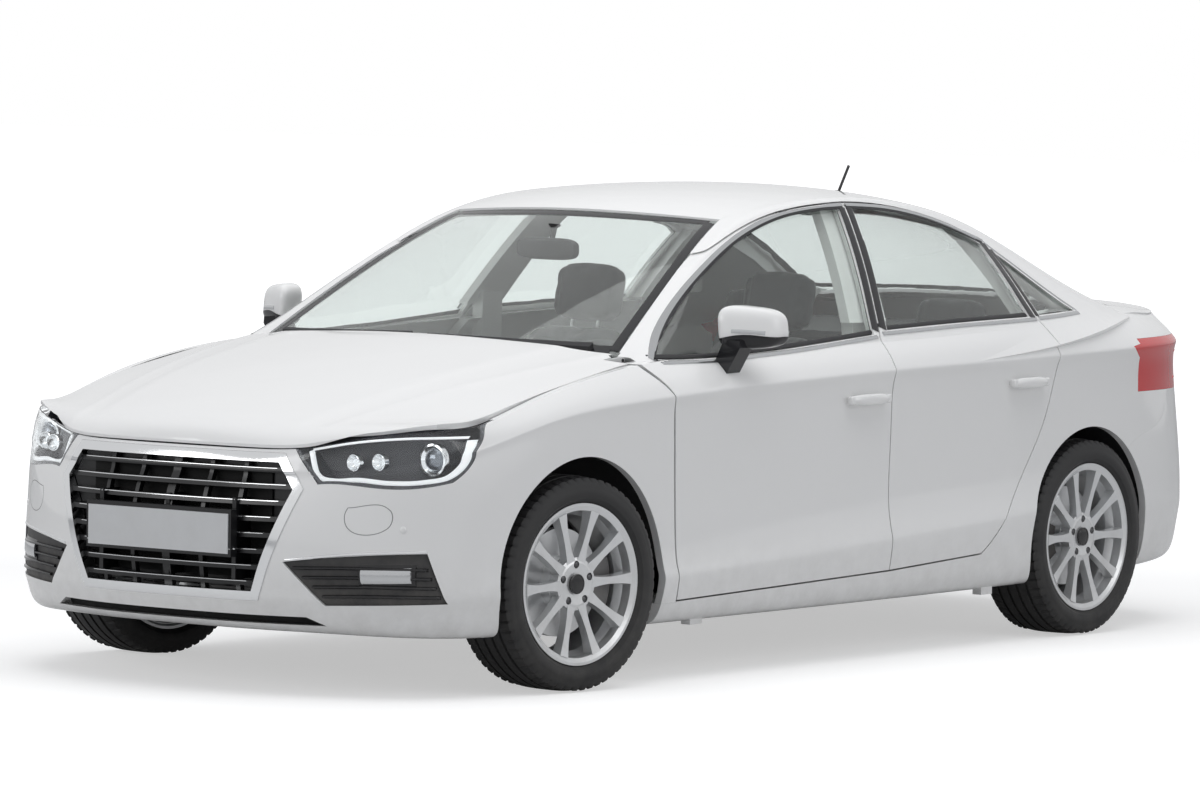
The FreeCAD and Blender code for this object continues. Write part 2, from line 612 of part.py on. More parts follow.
    rear = thin.common(prism("x", [[(1300, 100), seam[0]], seam, [seam[-1], (2400, seam[-1][1])], [(2400, seam[-1][1]), (2400, 100)],
                                   [(2400, 100), (1300, 100)]], 0, wide)).cut([arches, lid_hole, tail])
    rear = solid_of(rear)
    made["rear_bumper"] = joined([rear, mirrored(rear)]).cut(prism("y", EXHAUST_NOTCH, sy(1900), sy(2300)))
    # Bonnet and boot lid
    edge = bspline(side_net(PANEL + SHUT_GAP))
    top = edge.vIso(edge.bounds()[3])
    plan = [p for p in top.toShape().discretize(120) if p.y < sy(-880)]
    outline = Part.BSplineCurve()
    outline.interpolate([V(-p.x, p.y, 500) for p in plan[::-1]] + [V(p.x, p.y, 500) for p in plan[1:]])
    ends = [V(-plan[-1].x, plan[-1].y, 500), V(plan[-1].x, plan[-1].y, 500)]
    room = Part.Face(Part.Wire([outline.toShape(), Part.makeLine(ends[1], ends[0])])).extrude(V(0, 0, 700))
    lip = [(y, z + SHUT_GAP) for y, z in NOSE_RIM]
    below = prism("x", [[(-2400, 500), (-2400, lip[0][1])], [(-2400, lip[0][1]), lip[0]], lip, [lip[-1], (lip[-1][0], 500)],
                        [(lip[-1][0], 500), (-2400, 500)]], -wide, wide)
    beside = box(-wide, wide, sy(lip[-1][0]), sy(-800), 500, 1200)
    tip = high_holes[0].common(box(sx(HOOD_HINGE[0]) + 9, wide, sy(-1200), sy(-800), 500, 1200))
    doors = [low_holes[0], mirrored(low_holes[0]), tip, mirrored(tip)]
    bonnet = solid_of(hood.cut([below.cut(room), beside.cut(room)]).cut(doors))
    arm = prism("x", HOOD_ARM, sx(HOOD_HINGE[0]) - 5, sx(HOOD_HINGE[0]) + 5)
    arm = arm.cut(rod(hinge_point(HOOD_HINGE, -20), hinge_point(HOOD_HINGE, 20), HINGE_PIN + SEAM))
    made["bonnet"] = joined([bonnet, arm, mirrored(arm)])
    lid_top = deck.common(box(sx(-592), sx(592), sy(1772), sy(2300), 0, 1500))
    lid_rear = thin.common(lid_face)
    lid_rear = solid_of(lid_rear)
    pocket = box(LID_HINGE[0] - 18, LID_HINGE[0] + 30, sy(1740), sy(LID_HINGE[1]) + 16, 900, sz(LID_HINGE[2]) + 9)
    lid = joined([lid_top, lid_rear, mirrored(lid_rear)]).cut([tail, mirrored(tail), pocket, mirrored(pocket)])
    knuckle_tube = rod(hinge_point(LID_HINGE, -8), hinge_point(LID_HINGE, 10), 10.5)
    lid = joined([lid, knuckle_tube, mirrored(knuckle_tube)])
    bore = rod(hinge_point(LID_HINGE, -14), hinge_point(LID_HINGE, 18), HINGE_PIN + SEAM)
    made["boot_lid"] = lid.cut([bore, mirrored(bore)])
    # Lamps and inserts
    shrink = -SEAM
    made["head_lens"] = layer(SIDE, 0, 4).common(prism("y", HEADLAMP, sy(-2300), sy(-1700), shrink))
    made["head_body"] = layer(SIDE, 4.3, 90).common(prism("y", HEADLAMP, sy(-2300), sy(-1700), shrink)).cut(
        layer(SIDE, 4.0, 80).common(prism("y", HEADLAMP, sy(-2300), sy(-1700), -8)))
    body_tail = layer(SIDE, 0, 20).common(prism("y", TAIL_LAMP, sy(1560), sy(2300), shrink).fuse(prism("x", SIDE_LAMP, 500, wide, shrink)))
    made["tail_outer"] = solid_of(body_tail.cut(lid_hole))
    made["tail_inner"] = solid_of(body_tail.common(lid_face))
    made["vent"] = solid_of(layer(SIDE, 6, 24).common(prism("y", VENT, sy(-2300), sy(-1700), shrink)))
    made["thin"] = thin
    return made


# Outlines across the car, as (half width, height), and on plan, as (half width, station)
HEADLAMP = [[(404, 704), (404, 860)], [(404, 860), (802, 860)], [(802, 860), (804, 762), (813, 740), (814, 707), (806, 653), (787, 617)],
            [(787, 617), (735, 602), (660, 598), (575, 606), (482, 606)], [(482, 606), (404, 704)]]
GRILLE = [[(-380, 690), (380, 690)], [(380, 690), (446, 592)], [(446, 592), (322, 272)], [(322, 272), (-322, 272)],
          [(-322, 272), (-446, 592)], [(-446, 592), (-380, 690)]]
VENT = [[(402, 386), (583, 408), (752, 418)], [(752, 418), (790, 276)], [(790, 276), (511, 266)], [(511, 266), (475, 304)],
        [(475, 304), (402, 386)]]
SLOT = [[(-450, 230), (450, 230)], [(450, 230), (500, 206)], [(500, 206), (-500, 206)], [(-500, 206), (-450, 230)]]
EXHAUST_NOTCH = [[(392, 100), (578, 100)], [(578, 100), (566, 302)], [(566, 302), (404, 302)], [(404, 302), (392, 100)]]
TAIL_LAMP = [[(330, 800), (560, 766), (900, 762)], [(900, 762), (900, 925)], [(900, 925), (600, 925), (360, 895)], [(360, 895), (330, 800)]]
SIDE_LAMP = [[(1507, 906), (1650, 817), (1800, 761)], [(1800, 761), (1900, 757)], [(1900, 757), (1900, 925)],
             [(1900, 925), (1740, 925), (1507, 906)]]
LID_FACE = [[(-592, 1100), (592, 1100)], [(592, 1100), (592, 930)], [(592, 930), (560, 770)], [(560, 770), (500, 662)], [(500, 662), (-500, 662)],
            [(-500, 662), (-560, 770)], [(-560, 770), (-592, 930)], [(-592, 930), (-592, 1100)]]
SCREEN = [[(-668, -958), (-400, -1032), (0, -1066), (400, -1032), (668, -958)], [(668, -958), (588, -600), (500, -236)],
          [(500, -236), (260, -292), (0, -312), (-260, -292), (-500, -236)], [(-500, -236), (-588, -600), (-668, -958)]]
BACK_LIGHT = [[(-500, 1150), (-250, 1140), (0, 1136), (250, 1140), (500, 1150)], [(500, 1150), (512, 1400), (560, 1640)],
              [(560, 1640), (540, 1690), (300, 1735), (0, 1752), (-300, 1735), (-540, 1690), (-560, 1640)], [(-560, 1640), (-512, 1400), (-500, 1150)]]
ROOF_PANEL = [SCREEN[2][::-1], [(500, -236), (520, 60), (524, 400), (516, 760), (500, 1150)], BACK_LIGHT[0][::-1],
              [(-500, 1150), (-516, 760), (-524, 400), (-520, 60), (-500, -236)]]



# Hinge lines of boot lid and bonnet: half width, station, height
HINGE_PIN = 5.0
LID_HINGE = (330.0, 1778.0, 1029.0)
HOOD_HINGE = (693.0, -975.0, 930.0)
HOOD_ARM = [[(-1070, 916), (-1062, 934)], [(-1062, 934), (-975, 940)], [(-975, 940), (-965, 930), (-975, 920)], [(-975, 920), (-1070, 916)]]
HOOD_BRACKET = [[(-1045, 886), (-1000, 800)], [(-1000, 800), (-968, 920)], [(-968, 920), (-968, 937)], [(-968, 937), (-982, 937)],
                [(-982, 937), (-1045, 886)]]
LID_BRACKET = [[(1640, 928), (1689, 928)], [(1689, 928), (1784, 1014)], [(1784, 1014), (1784, 1033)], [(1784, 1033), (1771, 1033)],
               [(1771, 1033), (1768, 1016)], [(1768, 1016), (1640, 940)]]

# Jacking pads under the sill
JACK_X = 835.0
JACK_Y = (-800.0, 720.0)

# Running gear sizes
KINGPIN_LOW = (745.0, 180.0)
KINGPIN_HIGH = (545.0, 830.0)
DISC_RADIUS = 156.0
DISC_WIDTH = 25.0
STUB_FIT = 0.08
STEERING_RATIO = 16.0
BOOT_FLOOR = 430.0
ENGINE_HALF = 330.0
STRUT_PIN = 12.0
FLOOR_HALF = 698.0
TUNNEL = [[(-150, 150), (-110, 330)], [(-110, 330), (110, 330)], [(110, 330), (150, 150)], [(150, 150), (-150, 150)]]
LINER_RADIUS = 378.0


def revolved(profile, axis=V(1, 0, 0), angle=360.0):
    """Solid turned about the wheel axis from (along axis, radius) points."""
    pts = [V(x, 0, r) for x, r in profile]
    face = Part.Face(Part.makePolygon(pts + [pts[0]]))
    return face.revolve(V(0, 0, 0), axis, angle)


def tyre():
    """Tyre section turned about the axle, bead seats on the rim."""
    w = TYRE_WIDTH / 2
    seat = RIM_WIDTH / 2 - 3
    right = [(seat, RIM_RADIUS + SEAM), (seat, FLANGE_RADIUS + 1), (w - 8, FLANGE_RADIUS + 8), (w, 266), (w - 6, TYRE_RADIUS - 18),
             (w - 16, TYRE_RADIUS - 4), (w - 40, TYRE_RADIUS)]
    return revolved([(-x, r) for x, r in right] + right[::-1])


def rim():
    """Ten-spoke rim with hub and brake disc as one turning piece."""
    h = RIM_WIDTH / 2 + 2
    barrel = revolved([(-h, FLANGE_RADIUS - 8), (-h, FLANGE_RADIUS), (-h + 4.7, FLANGE_RADIUS), (-h + 5, RIM_RADIUS), (-70, RIM_RADIUS),
                       (-55, 204), (40, 204), (66, RIM_RADIUS), (h - 5, RIM_RADIUS), (h - 4.7, FLANGE_RADIUS), (h, FLANGE_RADIUS),
                       (h, FLANGE_RADIUS - 8), (h - 7, 212), (64, 209), (40, 197), (-55, 197), (-h + 12, 209)])
    hub = revolved([(44, HUB_BORE), (68, HUB_BORE), (68, 0), (80, 0), (80, 30), (84, 60), (80, 76), (44, 76)])
    hat = revolved([(DISC_WIDTH / 2, 68), (46, 68), (46, 78), (DISC_WIDTH / 2, 78)])
    disc = revolved([(-DISC_WIDTH / 2, 78), (DISC_WIDTH / 2, 68), (DISC_WIDTH / 2, DISC_RADIUS), (-DISC_WIDTH / 2, DISC_RADIUS)])
    pieces = [barrel, hub, hat, disc]
    sections = [(56, 19, 52, 82), (100, 12, 60, 84), (160, 11, 64, 89), (213, 17, 62, 96)]
    wires = []
    for r, half, back, front in sections:
        pts = [V(back, -half - 3, r), V(front, -half, r), V(front, half, r), V(back, half + 3, r)]
        wires.append(Part.makePolygon(pts + [pts[0]]))
    spoke = Part.makeLoft(wires, True, False)
    for k in range(SPOKES):
        turned = spoke.copy()
        turned.rotate(V(0, 0, 0), V(1, 0, 0), (k + 0.5) * 360.0 / SPOKES)
        pieces.append(turned)
    whole = joined(pieces)
    bolts = []
    for k in range(5):
        a = math.radians(90 + k * 72)
        bolts.append(Part.makeCylinder(11, 30, V(62, 56 * math.cos(a), 56 * math.sin(a)), V(1, 0, 0)))
    return whole.cut(bolts)


def caliper(start):
    """Brake caliper that straddles the disc over fifty degrees from a start angle, with its bracket."""
    g = DISC_WIDTH / 2 + 6
    r = DISC_RADIUS + 7
    body = revolved([(-42, 98), (-g, 98), (-g, r), (g, r), (g, 98), (40, 98), (40, r + 16), (-42, r + 16)], angle=50)
    bracket = revolved([(-42, 40), (-g - 4, 40), (-g - 4, 104), (-42, 104)], angle=50)
    whole = body.fuse(bracket)
    whole.rotate(V(0, 0, 0), V(1, 0, 0), start)
    return whole


def hub_carrier():
    """Bearing housing and stub that the wheel runs on."""
    return revolved([(-72, 0), (-72, 46), (-20, 52), (-20, 40), (30, 40), (42, HUB_BORE - STUB_FIT), (66, HUB_BORE - STUB_FIT), (66, 0)])


def kingpin(z):
    """Steering axis position across the car at a height."""
    t = (z - KINGPIN_LOW[1]) / (KINGPIN_HIGH[1] - KINGPIN_LOW[1])
    return KINGPIN_LOW[0] + (KINGPIN_HIGH[0] - KINGPIN_LOW[0]) * t


def knuckle():
    """Left front knuckle, straight ahead, with caliper and strut on the steering axis."""
    centre = V(FRONT_TRACK / 2, FRONT_AXLE, TYRE_RADIUS)
    parts = [hub_carrier(), caliper(-120)]
    web = [(-72, 40), (-98, 100), (-142, 120), (-150, 175), (-112, 175), (-82, 140), (-40, 60), (-30, -60), (-20, -110), (-48, -116),
           (-66, -60)]
    pts = [V(x, -26, z) for x, z in web]
    parts.append(Part.Face(Part.makePolygon(pts + [pts[0]])).extrude(V(0, 52, 0)))
    for q in parts:
        q.translate(centre)
    low = V(kingpin(425), FRONT_AXLE, 425)
    mid = V(kingpin(620), FRONT_AXLE, 620)
    top = V(kingpin(825), FRONT_AXLE, 825)
    parts += [rod(low, mid, 25), rod(mid - (mid - low) * 0.02, top, STRUT_PIN), rod(mid, mid + (top - mid) * 0.1, 58)]
    parts.append(rod(mid, mid + (top - mid) * 0.8, 50).cut(rod(mid - (top - mid) * 0.1, top, 42)))
    return joined(parts)


def steered(shape):
    """Turned about the left steering axis to the resting angle, nose to the car's right."""
    s = shape.copy()
    axis = V(KINGPIN_HIGH[0] - KINGPIN_LOW[0], 0, KINGPIN_HIGH[1] - KINGPIN_LOW[1])
    s.rotate(V(KINGPIN_LOW[0], FRONT_AXLE, KINGPIN_LOW[1]), axis, -REST_STEER)
    return s


def steered_right(shape):
    """The mirrored shape turned the same way about the right steering axis."""
    s = mirrored(shape)
    axis = V(KINGPIN_LOW[0] - KINGPIN_HIGH[0], 0, KINGPIN_HIGH[1] - KINGPIN_LOW[1])
    s.rotate(V(-KINGPIN_LOW[0], FRONT_AXLE, KINGPIN_LOW[1]), axis, -REST_STEER)
    return s


def front_suspension():
    """Subframe, lower arms to the ball joints, and drive shafts."""
    y = FRONT_AXLE
    cross = box(-380, 380, y - 30, y + 170, 175, 225)
    arm_pts = [V(330, y - 25, 172), V(700, y - 26, 168), V(752, y - 22, 168), V(752, y + 22, 168), V(690, y + 30, 168), (V(330, y + 170, 172))]
    for q in arm_pts:
        q.z = 168
    arm = Part.Face(Part.makePolygon(arm_pts + [arm_pts[0]])).extrude(V(0, 0, 20))
    shaft = rod(V(ENGINE_HALF + SEAM, y, 300), V(680, y, 302), 14)
    boot = rod(V(615, y, 301), V(680, y, 302), 34)
    inner_boot = rod(V(ENGINE_HALF + SEAM, y, 300), V(ENGINE_HALF + 70, y, 300), 38)
    rail = box(300, 380, y + 100, sy(-1010) - SEAM, 182, 225)
    half = joined([arm, box(300, 380, y - 30, y + 170, 168, 225), rail])
    drive = joined([shaft, boot, inner_boot])
    beam = joined([cross, half, mirrored(half)])
    return [beam, drive, mirrored(drive)]


def rear_suspension():
    """Rear subframe, arms, springs, knuckles and calipers, fixed at the parking height."""
    y = REAR_AXLE
    centre = V(REAR_TRACK / 2, y, TYRE_RADIUS)
    carrier = [hub_carrier(), caliper(70)]
    for q in carrier:
        q.translate(centre)
    x = REAR_TRACK / 2
    upright = box(x - 95, x - 40, y - 40, y + 40, TYRE_RADIUS - 130, TYRE_RADIUS + 110)
    lower = box(300, x - 60, y - 10, y + 130, 182, 206)
    upper = rod(V(330, y + 20, 338), V(x - 70, y + 20, 338), 16)
    trailing = rod(V(x - 80, y - 30, 290), V(560, y - 420, 280), 24)
    spring = rod(V(470, y + 60, 200), V(470, y + 60, BOOT_FLOOR - SEAM), 54)
    damper = rod(V(x - 130, y + 100, 200), V(572, y + 80, BOOT_FLOOR - 8), 22)
    half = joined(carrier + [upright, lower, upper, trailing, spring, damper])
    frame = box(-340, 340, y - 60, y + 85, 300, 345)
    legs = box(300, 345, y - 20, y + 140, 182, BOOT_FLOOR - SEAM)
    return joined([frame, legs, mirrored(legs), half, mirrored(half)])


def floor_pan():
    """Floor with tunnel, seat riser, boot floor with wheel well, wheel houses cut out."""
    profile = [(-1010, 182), (560, 182), (640, 312), (1025, 312), (1060, BOOT_FLOOR), (1990, BOOT_FLOOR), (1990, BOOT_FLOOR + 18),
               (1046, BOOT_FLOOR + 18), (1011, 330), (628, 330), (548, 200), (-1010, 200)]
    pts = [V(-FLOOR_HALF, sy(a), b) for a, b in profile]
    pan = Part.Face(Part.makePolygon(pts + [pts[0]])).extrude(V(2 * FLOOR_HALF, 0, 0))
    tunnel = prism("y", TUNNEL, sy(-1010), sy(600))
    hollow = prism("y", [[(-132, 100), (-94, 314)], [(-94, 314), (94, 314)], [(94, 314), (132, 100)], [(132, 100), (-132, 100)]], sy(-1020), sy(640))
    well = Part.makeCylinder(330, 150, V(0, sy(1690), BOOT_FLOOR - 140)).cut(Part.makeCylinder(316, 150, V(0, sy(1690), BOOT_FLOOR - 126)))
    pan = pan.cut(Part.makeCylinder(320, 400, V(0, sy(1690), 100)))
    pan = joined([pan, tunnel, well]).cut(hollow)
    house = wheel_arch(REAR_AXLE, LINER_RADIUS + 8, 628, 900)
    corner = prism("z", [[(600, 2010), (760, 2010)], [(760, 2010), (760, 1700)], [(760, 1700), (600, 2010)]], 300, 600)
    pan = pan.cut([house, mirrored(house), corner, mirrored(corner)])
    return solid_of(pan)


def firewall():
    """Bulkhead between engine bay and cabin with the scuttle on top and the strut towers ahead of it."""
    wall = prism("x", [[(-1010, 205), (-985, 205)], [(-985, 205), (-985, 700)], [(-985, 700), (-1010, 880)], [(-1010, 880), (-1110, 900)],
                       [(-1110, 900), (-1110, 880)], [(-1110, 880), (-1030, 860)], [(-1030, 860), (-1010, 700)], [(-1010, 700), (-1010, 205)]], -690, 690)
    mouth = prism("y", TUNNEL, sy(-1100), sy(-900), 0.3)
    arch = wheel_arch(FRONT_AXLE, LINER_RADIUS + 8, 440, 900)
    wall = wall.cut([mouth, arch, mirrored(arch)])
    tower = rod(V(kingpin(806), FRONT_AXLE, 806), V(kingpin(828), FRONT_AXLE, 828), 82)
    stay = box(500, 585, FRONT_AXLE, sy(-1000), 806, 826)
    bracket = prism("x", HOOD_BRACKET, sx(HOOD_HINGE[0]) - 19, sx(HOOD_HINGE[0]) - 8)
    pin = rod(hinge_point(HOOD_HINGE, -12), hinge_point(HOOD_HINGE, 7), HINGE_PIN)
    half = joined([tower, stay, bracket, pin, wall])
    bore = rod(V(kingpin(780), FRONT_AXLE, 780), V(kingpin(850), FRONT_AXLE, 850), STRUT_PIN + SEAM)
    whole = joined([half, mirrored(half)])
    return whole.cut([bore, mirrored(bore)])


def bulkhead():
    """Rear seat bulkhead and parcel shelf."""
    low = BOOT_FLOOR + 18 + SEAM
    shelf = prism("x", [[(1058, low), (1078, low)], [(1078, low), (1290, 900)], [(1290, 900), (1690, 930)], [(1690, 930), (1690, 946)],
                       [(1690, 946), (1272, 916)], [(1272, 916), (1058, low)]], -600, 600)
    bracket = prism("x", LID_BRACKET, sx(LID_HINGE[0]) + 13, sx(LID_HINGE[0]) + 23)
    pin = rod(hinge_point(LID_HINGE, -10), hinge_point(LID_HINGE, 20), HINGE_PIN)
    return joined([shelf, bracket, pin, mirrored(bracket), mirrored(pin)])


def front_seat():
    """Left front seat as closed cushion, backrest and head restraint."""
    c = 365
    cushion = rounded(c - 255, c + 255, -420, 100, 300, 445, 45)
    back = rounded(c - 250, c + 250, -70, 60, 0, 620, 50)
    back.rotate(V(c, 0, 0), V(1, 0, 0), -22)
    back.translate(V(0, 70, 400))
    head = rounded(c - 130, c + 130, -50, 50, 0, 190, 40)
    head.rotate(V(c, 0, 0), V(1, 0, 0), -12)
    head.translate(V(0, 302, 965))
    frame = box(c - 220, c + 220, -380, 60, 200.3, 310)
    seat = joined([cushion, back, head, frame])
    seat.translate(V(0, sy(-60), 0))
    return seat


def rear_bench():
    """Rear bench with full-width cushion and back."""
    cushion = rounded(-620, 620, 480, 900, 330 + 30, 470, 45)
    plinth = box(-560, 560, 660, 880, 330 + SEAM, 400)
    back = rounded(-600, 600, -60, 60, 0, 560, 45)
    back.rotate(V(0, 0, 0), V(1, 0, 0), -25)
    back.translate(V(0, 935, 400))
    heads = []
    for x in (-380, 380):
        h = rounded(x - 130, x + 130, -45, 45, 0, 150, 35)
        h.rotate(V(0, 0, 0), V(1, 0, 0), -18)
        h.translate(V(0, 1180, 905))
        heads.append(h)
    bench = joined([cushion, plinth, back] + heads)
    bench.translate(V(0, sy(0) - 20, 0))
    return bench


def dashboard():
    """Dashboard with instrument hood and centre console."""
    top = prism("x", [[(-960, 640), (-975, 860)], [(-975, 860), (-850, 905), (-700, 880)], [(-700, 880), (-640, 830), (-640, 740)],
                      [(-640, 740), (-760, 600)], [(-760, 600), (-960, 640)]], -670, 670)
    hood = prism("x", [[(-780, 850), (-760, 920), (-640, 905)], [(-640, 905), (-660, 800)], [(-660, 800), (-780, 850)]], 220, 510)
    console = prism("x", [[(-800, 330 + SEAM), (-800, 620)], [(-800, 620), (-640, 620), (-480, 470)], [(-480, 470), (60, 470)], [(60, 470), (60, 330 + SEAM)],
                          [(60, 330 + SEAM), (-800, 330 + SEAM)]], -85, 85)
    return joined([top, hood, console])


WHEEL_POS = (365.0, -560.0, 790.0)
WHEEL_TILT = 25.0


def steering_wheel():
    """Three-spoke steering wheel on its column, turned about the column's axis."""
    rim_ring = Part.makeTorus(178, 15)
    hub = Part.makeCylinder(58, 34, V(0, 0, -22))
    parts = [rim_ring, hub]
    for k in range(3):
        spoke = box(-16, 16, 30, 172, -14, -2)
        spoke.rotate(V(0, 0, 0), V(0, 0, 1), 60 + k * 120)
        parts.append(spoke)
    wheel = joined(parts)
    wheel.rotate(V(0, 0, 0), V(1, 0, 0), -(90 - WHEEL_TILT))
    wheel.translate(V(sx(WHEEL_POS[0]), sy(WHEEL_POS[1]), sz(WHEEL_POS[2])))
    return wheel


def column():
    """Steering column between dashboard and wheel hub."""
    d = V(0, -math.cos(math.radians(WHEEL_TILT)), -math.sin(math.radians(WHEEL_TILT)))
    c = V(sx(WHEEL_POS[0]), sy(WHEEL_POS[1]), sz(WHEEL_POS[2]))
    return rod(c + d * (22 + SEAM), c + d * 190, 40)


def mirror_left(door):
    """Left door mirror: swept-back housing on its foot, which sits on the door's shoulder."""
    corners = [(824, -706), (946, -676), (985, -600), (980, -506), (824, -590)]
    pts = [V(x, sy(y), 960) for x, y in corners]
    shell = Part.Face(Part.makePolygon(pts + [pts[0]])).extrude(V(0, 0, 126))
    shell = shell.makeFillet(26, shell.Edges)
    foot = prism("y", [[(812, 912), (858, 884)], [(858, 884), (912, 966)], [(912, 966), (912, 990)], [(912, 990), (846, 990)],
                       [(846, 990), (812, 912)]], sy(-684), sy(-620))
    return solid_of(joined([shell, foot]).cut(door))


def liner(axle, inner):
    """Wheel-house liner of the left side: an arch with its inner wall."""
    c = V(0, axle, TYRE_RADIUS)
    outer_x = sx(890)
    shell = wheel_arch(axle, LINER_RADIUS + 5, inner - 5, outer_x).cut(wheel_arch(axle, LINER_RADIUS, inner, outer_x + 10))
    shell = shell.common(box(0, 900, axle - 500, axle + 500, 360, 900))
    strut = rod(V(kingpin(500), FRONT_AXLE, 500), V(kingpin(780), FRONT_AXLE, 780), 72)
    return solid_of(shell.cut([layer(SIDE, -5, PANEL + SEAM), strut]))


def engine_block():
    """Engine and gearbox as one plain block in its bay."""
    return rounded(-ENGINE_HALF, ENGINE_HALF, sy(-1640), sy(-1190), 225 + SEAM, 780, 40)


def exhaust():
    """Pipe along the tunnel, rear silencer under the boot floor and twin tips."""
    route = [(0, -1000, 215), (0, -300, 215), (0, 400, 213), (50, 800, 198), (140, 1100, 190), (230, 1500, 200), (300, 1780, 240), (400, 1890, 272)]
    line = Part.BSplineCurve()
    line.interpolate([V(x, sy(y), z) for x, y, z in route])
    ring = Part.Wire(Part.makeCircle(29, V(0, sy(-1000), 215), V(0, 1, 0)))
    pipe = Part.Wire(line.toShape()).makePipeShell([ring], True, True)
    can = rounded(380, 590, sy(1720), sy(1990), 215, 335, 40)
    hook = box(470, 490, sy(1880), sy(1900), 330, BOOT_FLOOR - SEAM)
    tips = [rod(V(x, sy(1970), 262), V(x, sy(2150), 262), 32).cut(rod(V(x, sy(2070), 262), V(x, sy(2170), 262), 28)) for x in (445, 525)]
    return joined([pipe, can, hook] + tips)


PLATE = (520.0, 113.0, 460.0)


def front_plate():
    """Blank front plate on its holder against the slats."""
    w, h, z = PLATE
    y = NOSE_Y
    plate = box(-w / 2, w / 2, y, y + 3, z - h / 2, z + h / 2)
    holder = box(-w / 2 - 9, w / 2 + 9, y + 3 + SEAM, y + 30, z - h / 2 - 9, z + h / 2 + 12)
    return holder, plate


def wipers():
    """Two tapering wiper blades at rest along the screen's lower edge, laid on the glass."""
    over = layer(CANOPY, -9, 6 - SEAM)
    arms = []
    for x0, x1 in ((575, 20), (-40, -600)):
        upper = []
        lower = []
        for k in range(8):
            x = x0 + (x1 - x0) * k / 7
            y = -1042 + 108 * (abs(x) / 668) ** 2.25
            upper.append((x, y + 10 - 0.7 * k))
            lower.append((x, y - 10 + 0.7 * k))
        strip = prism("z", [upper, [upper[-1], lower[-1]], lower[::-1], [lower[0], upper[0]]], 800, 1500)
        arms.append(solid_of(over.common(strip)))
    return Part.makeCompound(arms)


def hinge_point(place, shift):
    """A point on a hinge line across the car, shifted outward along it."""
    return V(sx(place[0]) + shift, sy(place[1]), sz(place[2]))


def surface_point(x, y):
    """Point of the canopy's outer surface above a plan position."""
    skin = bspline(CANOPY)
    p = V(sx(x), sy(y), 1000)
    for _ in range(24):
        near = skin.value(*skin.parameter(p))
        p = V(sx(x), sy(y), near.z)
    return p


def aerial():
    """Short raked roof aerial at the rear of the roof."""
    foot = surface_point(0, 1082)
    slope = surface_point(0, 1110) - surface_point(0, 1050)
    up = V(0, -slope.z, slope.y).normalize()
    base = Part.makeCone(26, 14, 30, foot + up * SEAM, up)
    return joined([base, rod(foot + V(0, 4, 22), foot + V(0, 62, 110), 4.5)])


def main():
    made = panels()
    left_frame = made["side_frame"]
    save("side_frame_left", left_frame)
    save("side_frame_right", mirrored(left_frame))
    save("grille_frame", made["grille_frame"])
    holder, plate = front_plate()
    save("grille", joined([made["grille"], holder]))
    save("front_plate", plate)
    save("roof_panel", made["roof_panel"])
    save("windscreen", made["windscreen"])
    save("rear_window", made["rear_window"])
    save("quarter_windows", both(made["quarter_glass"]))
    save("wing_left", made["wing"])
    save("wing_right", mirrored(made["wing"]))
    save("front_bumper", made["front_bumper"])
    save("rear_bumper", made["rear_bumper"])
    save("bonnet", made["bonnet"])
    save("boot_lid", made["boot_lid"])
    save("headlamp_lenses", both(made["head_lens"]))
    save("headlamp_bodies", both(made["head_body"]))
    save("tail_lamps", both(made["tail_outer"]))
    save("lid_lamps", both(made["tail_inner"]))
    save("bumper_vents", both(made["vent"]))
    for name in ("front", "rear"):
        save("door_%s_left" % name, made[name + "_door"])
        save("door_%s_right" % name, mirrored(made[name + "_door"]))
        save("glass_%s_left" % name, made[name + "_glass"])
        save("glass_%s_right" % name, mirrored(made[name + "_glass"]))
    side_mirror = mirror_left(made["front_door"])
    save("mirror_left", side_mirror)
    save("mirror_right", mirrored(side_mirror))
    front_x = FRONT_TRACK / 2
    rear_x = REAR_TRACK / 2
    for name, shape in (("rim", rim()), ("tyre", tyre())):
        placed = shape.copy()
        placed.translate(V(front_x, FRONT_AXLE, TYRE_RADIUS))
        save("%s_front_left" % name, steered(placed))
        save("%s_front_right" % name, steered_right(placed))
        placed = shape.copy()
        placed.translate(V(rear_x, REAR_AXLE, TYRE_RADIUS))
        save("%s_rear_left" % name, placed)
        save("%s_rear_right" % name, mirrored(placed))
    k = knuckle()
    save("knuckle_left", steered(k))
    save("knuckle_right", steered_right(k))
    save("front_suspension", Part.makeCompound(front_suspension()))
    save("rear_suspension", rear_suspension())
    save("floor_pan", floor_pan())
    save("firewall", firewall())
    save("rear_bulkhead", bulkhead())
    save("front_seats", both(front_seat()))
    save("rear_bench", rear_bench())
    save("dashboard", joined([dashboard(), column()]))
    save("steering_wheel", steering_wheel())
    liners = [liner(FRONT_AXLE, 470), liner(REAR_AXLE, 634)]
    save("arch_liners", Part.makeCompound(liners + [mirrored(q) for q in liners]))
    save("engine_block", engine_block())
    save("exhaust", exhaust())
    save("wipers", wipers())
    save("aerial", aerial())


if __name__ == "__main__":
    main()
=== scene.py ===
# %% [markdown]
# # A white saloon car, dressed for the camera
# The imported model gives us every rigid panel, wheel and window as a fixed frame. This lesson adds what a CAD
# file leaves out: paint, glass and rubber, lamp insides, bright strips, seats with seams, tread and a calm
# studio. Every length is in metres, the car faces -Y, its left side is +X, and it stands on Z = 0.

# %% Load the frame
import bpy
import json
import math
import numpy as np
from mathutils import Matrix, Vector


